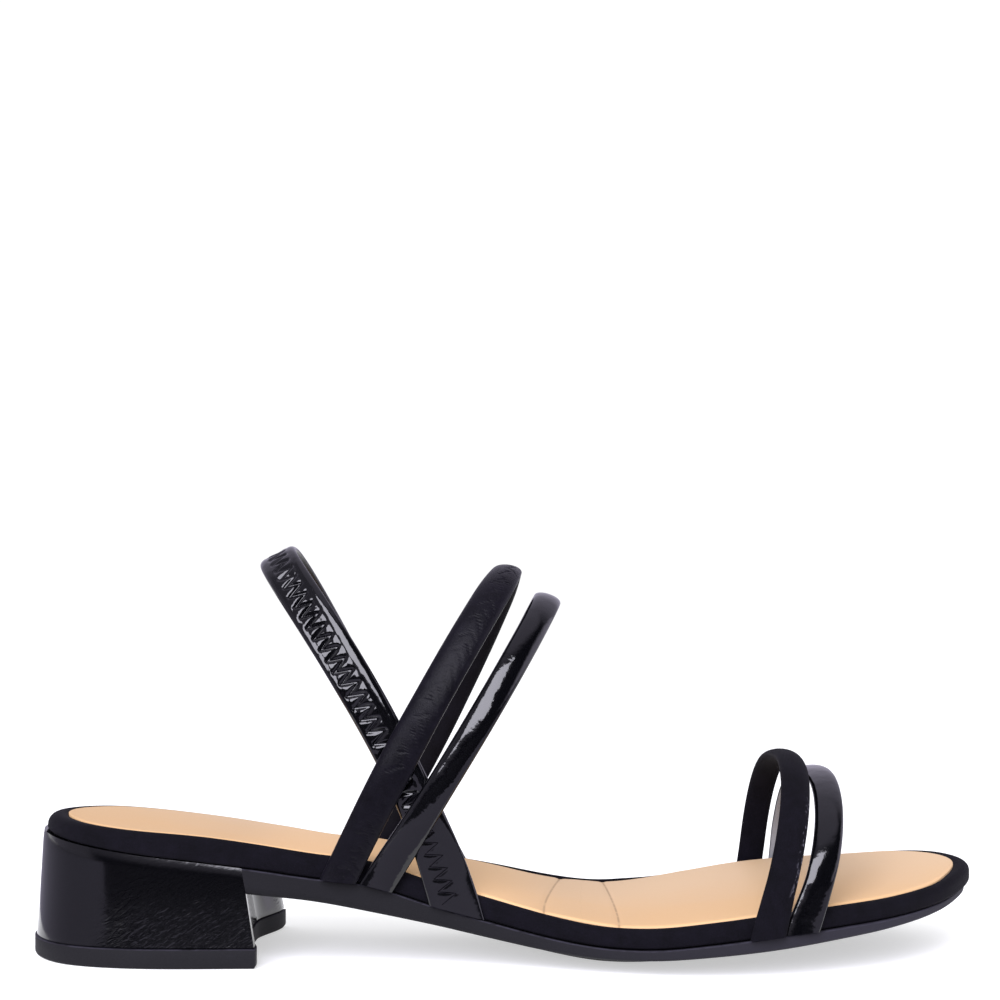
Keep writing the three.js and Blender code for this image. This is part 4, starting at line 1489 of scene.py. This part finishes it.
class SANDAL_OT_sole(bpy.types.Operator):
    """Builds the outsole and the heel's lift"""

    bl_idname = "sandal.sole"
    bl_label = "Sole"

    def execute(self, context):
        material = rubber_material("sole_rubber", context.scene.sandal_colours.rubber)
        for node, mesh in (("outsole", outsole_mesh()), ("heel_lift", lift_mesh())):
            shade_smooth(mesh)
            add_piece(node + "_rubber", mesh, node, material)
        return {"FINISHED"}


class SANDAL_OT_heel(bpy.types.Operator):
    """Builds the covered heel block"""

    bl_idname = "sandal.heel"
    bl_label = "Heel"

    def execute(self, context):
        mesh = heel_mesh()
        shade_smooth(mesh)
        material = heel_cover_material("heel_patent", context.scene.sandal_colours.patent)
        add_piece("heel_cover", mesh, "heel_block", material)
        return {"FINISHED"}


class SANDAL_OT_straps(bpy.types.Operator):
    """Builds the two vamp straps and the two instep straps"""

    bl_idname = "sandal.straps"
    bl_label = "Plain straps"

    def execute(self, context):
        sizes = context.scene.sandal_sizes
        colours = context.scene.sandal_colours
        soft_suede = suede_material("creased_suede", colours.suede, 0.1, 0.25)
        scuffed = suede_material("scuffed_suede", colours.suede, scuffed=0.9, scuff_tint=colours.scuffs)
        ripple = sizes.patent_ripple
        patent = patent_material("strap_patent", colours.patent, ripple, colours.patent)
        lined = patent_material("lined_patent", colours.patent, ripple, colours.strap_lining)
        section = even_section(48)
        for name, slot, material, relief, node, finer in (
            ("vamp_strap_rear", "suede", scuffed, suede_relief, "vamp_strap_rear", 1),
            ("vamp_strap_front", "patent", lined, patent_relief, "vamp_strap_front", 1),
            ("instep_strap_rear", "suede", soft_suede, creased_relief, "ankle_straps", 5),
            ("instep_strap_front", "patent", patent, patent_relief, "ankle_straps", 1),
        ):
            steps = sizes.strap_steps * finer
            title = name + "_" + slot
            mesh = strap_mesh(title, STRAPS[name], steps, section, relief)
            add_piece(title, mesh, node, material)
        return {"FINISHED"}


class SANDAL_OT_sling(bpy.types.Operator):
    """Builds the quilted sling and its zigzag thread"""

    bl_idname = "sandal.sling"
    bl_label = "Sling"

    def execute(self, context):
        sizes = context.scene.sandal_sizes
        colours = context.scene.sandal_colours
        ripple = sizes.patent_ripple * 0.6
        patent = patent_material("sling_patent", colours.patent, ripple, colours.patent)
        strap = STRAPS["sling_strap"]
        section = fine_outside_section(56, 14)
        relief = quilt_relief(sizes, strap_length(strap), strap.width / 2)
        mesh = strap_mesh("sling_patent", strap, sizes.sling_steps, section, relief)
        add_piece("sling_patent", mesh, "ankle_straps", patent)
        thread = suede_material("thread", colours.suede)
        guide = quilt_guide(strap, sizes)
        values = {"Reach": sizes.quilt_reach, "Thread Radius": sizes.thread_radius}
        stitches = grown_mesh("sling_stitches", guide, zigzag_tree(thread), values)
        add_piece("sling_stitches", stitches, "ankle_straps")
        return {"FINISHED"}


# Stage


def flat_sheet(name, corners, height, material):
    mesh = bpy.data.meshes.new(name)
    mesh.from_pydata([(x, y, height) for x, y in corners], [], [(0, 1, 2, 3)])
    mesh.materials.append(material)
    sheet = placed(name, mesh)
    return sheet


def plain_material(name, tint, roughness, glow=0.0):
    shader = Shader(bpy.data.materials.new(name))
    return shader.surface(
        {
            "Base Color": tint,
            "Roughness": roughness,
            "Specular IOR Level": 0.1,
            "Emission Color": (1, 1, 1, 1),
            "Emission Strength": glow,
        }
    )


def studio_world():
    """Pale to the camera and even to the diffuse rays. Mirrored rays see a studio, dark in front."""
    world = bpy.data.worlds.new("studio")
    world.use_nodes = True
    studio = Shader(world)
    way = studio.node("ShaderNodeTexCoord", output="Generated")
    side = studio.axis(way, "X")
    up = studio.axis(way, "Z")
    behind = studio.ramp(studio.axis(way, "Y"), -0.1, 0.45) * BEHIND_SEEN
    above = studio.ramp(up, 0.8, 0.95) * ABOVE_SEEN
    right = studio.ramp(side, 0.66, 0.85) * RIGHT_SEEN
    left = studio.ramp(0 - side, 0.66, 0.8) * LEFT_SEEN
    wall = studio.ramp(0.02 - side, 0.0, 0.1) * studio.ramp(up, 0.05, 0.13) * WALL_SEEN
    mirrored = behind.larger(above).larger(right).larger(left).larger(wall) + 0.01
    rays = studio.node("ShaderNodeLightPath", output="Is Camera Ray")
    glossy = studio.node("ShaderNodeLightPath", output="Is Glossy Ray")
    strength = FILL + (SEEN_WHITE - FILL) * rays + (mirrored - FILL) * glossy
    surface = studio.node(
        "ShaderNodeBackground",
        inputs={"Color": studio.mix(glossy, (1, 1, 1, 1), COOL), "Strength": strength},
        output="Background",
    )
    studio.node("ShaderNodeOutputWorld", inputs={"Surface": surface})
    return world


def studio_place(azimuth, elevation, distance):
    """A place around the shoe. Azimuth 0 is towards the camera, and elevation is up from level."""
    turn = math.radians(azimuth)
    lift = math.radians(elevation)
    level = math.cos(lift) * distance
    x, y, z = STUDIO_MIDDLE
    return Vector((x + level * math.sin(turn), y - level * math.cos(turn), z + math.sin(lift) * distance))


def softbox():
    data = bpy.data.lights.new("softbox", "AREA")
    data.shape = "RECTANGLE"
    data.size = SOFTBOX_WIDTH
    data.size_y = SOFTBOX_HEIGHT
    data.energy = SOFTBOX_POWER
    data.color = SOFTBOX_TINT
    light = placed("softbox", data)
    light.location = studio_place(SOFTBOX_TURN, SOFTBOX_LIFT, SOFTBOX_AWAY)
    way = Vector(STUDIO_MIDDLE) - light.location
    light.rotation_euler = way.to_track_quat("-Z", "Y").to_euler()


def mirror_card(name, corners, height, brightness):
    """A card on the floor that only mirrored rays see."""
    card = flat_sheet(name, corners, height, plain_material(name, colour(COOL, brightness), 1))
    card.visible_camera = False
    card.visible_diffuse = False
    card.visible_shadow = False


class SANDAL_OT_stage(bpy.types.Operator):
    """Sets the floor, the lights and the camera"""

    bl_idname = "sandal.stage"
    bl_label = "Stage"

    def execute(self, context):
        scene = context.scene
        floor = plain_material("pale_floor", (0.62, 0.62, 0.64, 1), 0.9, FLOOR_GLOW)
        half = FLOOR_HALF
        flat_sheet("floor", ((-half, -half), (half, -half), (half, half), (-half, half)), 0, floor)
        for card in MIRROR_CARDS:
            mirror_card(*card)
        softbox()
        scene.world = studio_world()
        data = bpy.data.cameras.new("photo_camera")
        data.lens = CAMERA_LENS
        data.sensor_width = CAMERA_SENSOR
        data.shift_y = CAMERA_SHIFT
        camera = placed("photo_camera", data)
        camera.location = CAMERA_PLACE
        camera.rotation_euler = (math.radians(90), 0, 0)
        scene.camera = camera
        scene.view_settings.view_transform = "Standard"
        return {"FINISHED"}


class SANDAL_PT_panel(bpy.types.Panel):
    """Lists the pieces and their settings"""

    bl_idname = "SANDAL_PT_panel"
    bl_label = "Sandal"
    bl_space_type = "VIEW_3D"
    bl_region_type = "UI"
    bl_category = "Sandal"

    def draw(self, context):
        for operator in OPERATORS:
            self.layout.operator(operator.bl_idname)
        for settings in (context.scene.sandal_sizes, context.scene.sandal_colours):
            for name in settings.bl_rna.properties.keys():
                if name not in ("rna_type", "name"):
                    self.layout.prop(settings, name)


OPERATORS = (
    SANDAL_OT_stage,
    SANDAL_OT_footbed,
    SANDAL_OT_sole,
    SANDAL_OT_heel,
    SANDAL_OT_straps,
    SANDAL_OT_sling,
)
CLASSES = (SandalSizes, SandalColours, *OPERATORS, SANDAL_PT_panel)


def register():
    for entry in CLASSES:
        bpy.utils.register_class(entry)
    bpy.types.Scene.sandal_sizes = PointerProperty(type=SandalSizes)
    bpy.types.Scene.sandal_colours = PointerProperty(type=SandalColours)


def unregister():
    del bpy.types.Scene.sandal_sizes
    del bpy.types.Scene.sandal_colours
    for entry in reversed(CLASSES):
        bpy.utils.unregister_class(entry)


def main():
    register()
    bpy.ops.sandal.stage()
    bpy.ops.sandal.footbed()
    bpy.ops.sandal.sole()
    bpy.ops.sandal.heel()
    bpy.ops.sandal.straps()
    bpy.ops.sandal.sling()


if __name__ == "__main__":
    main()
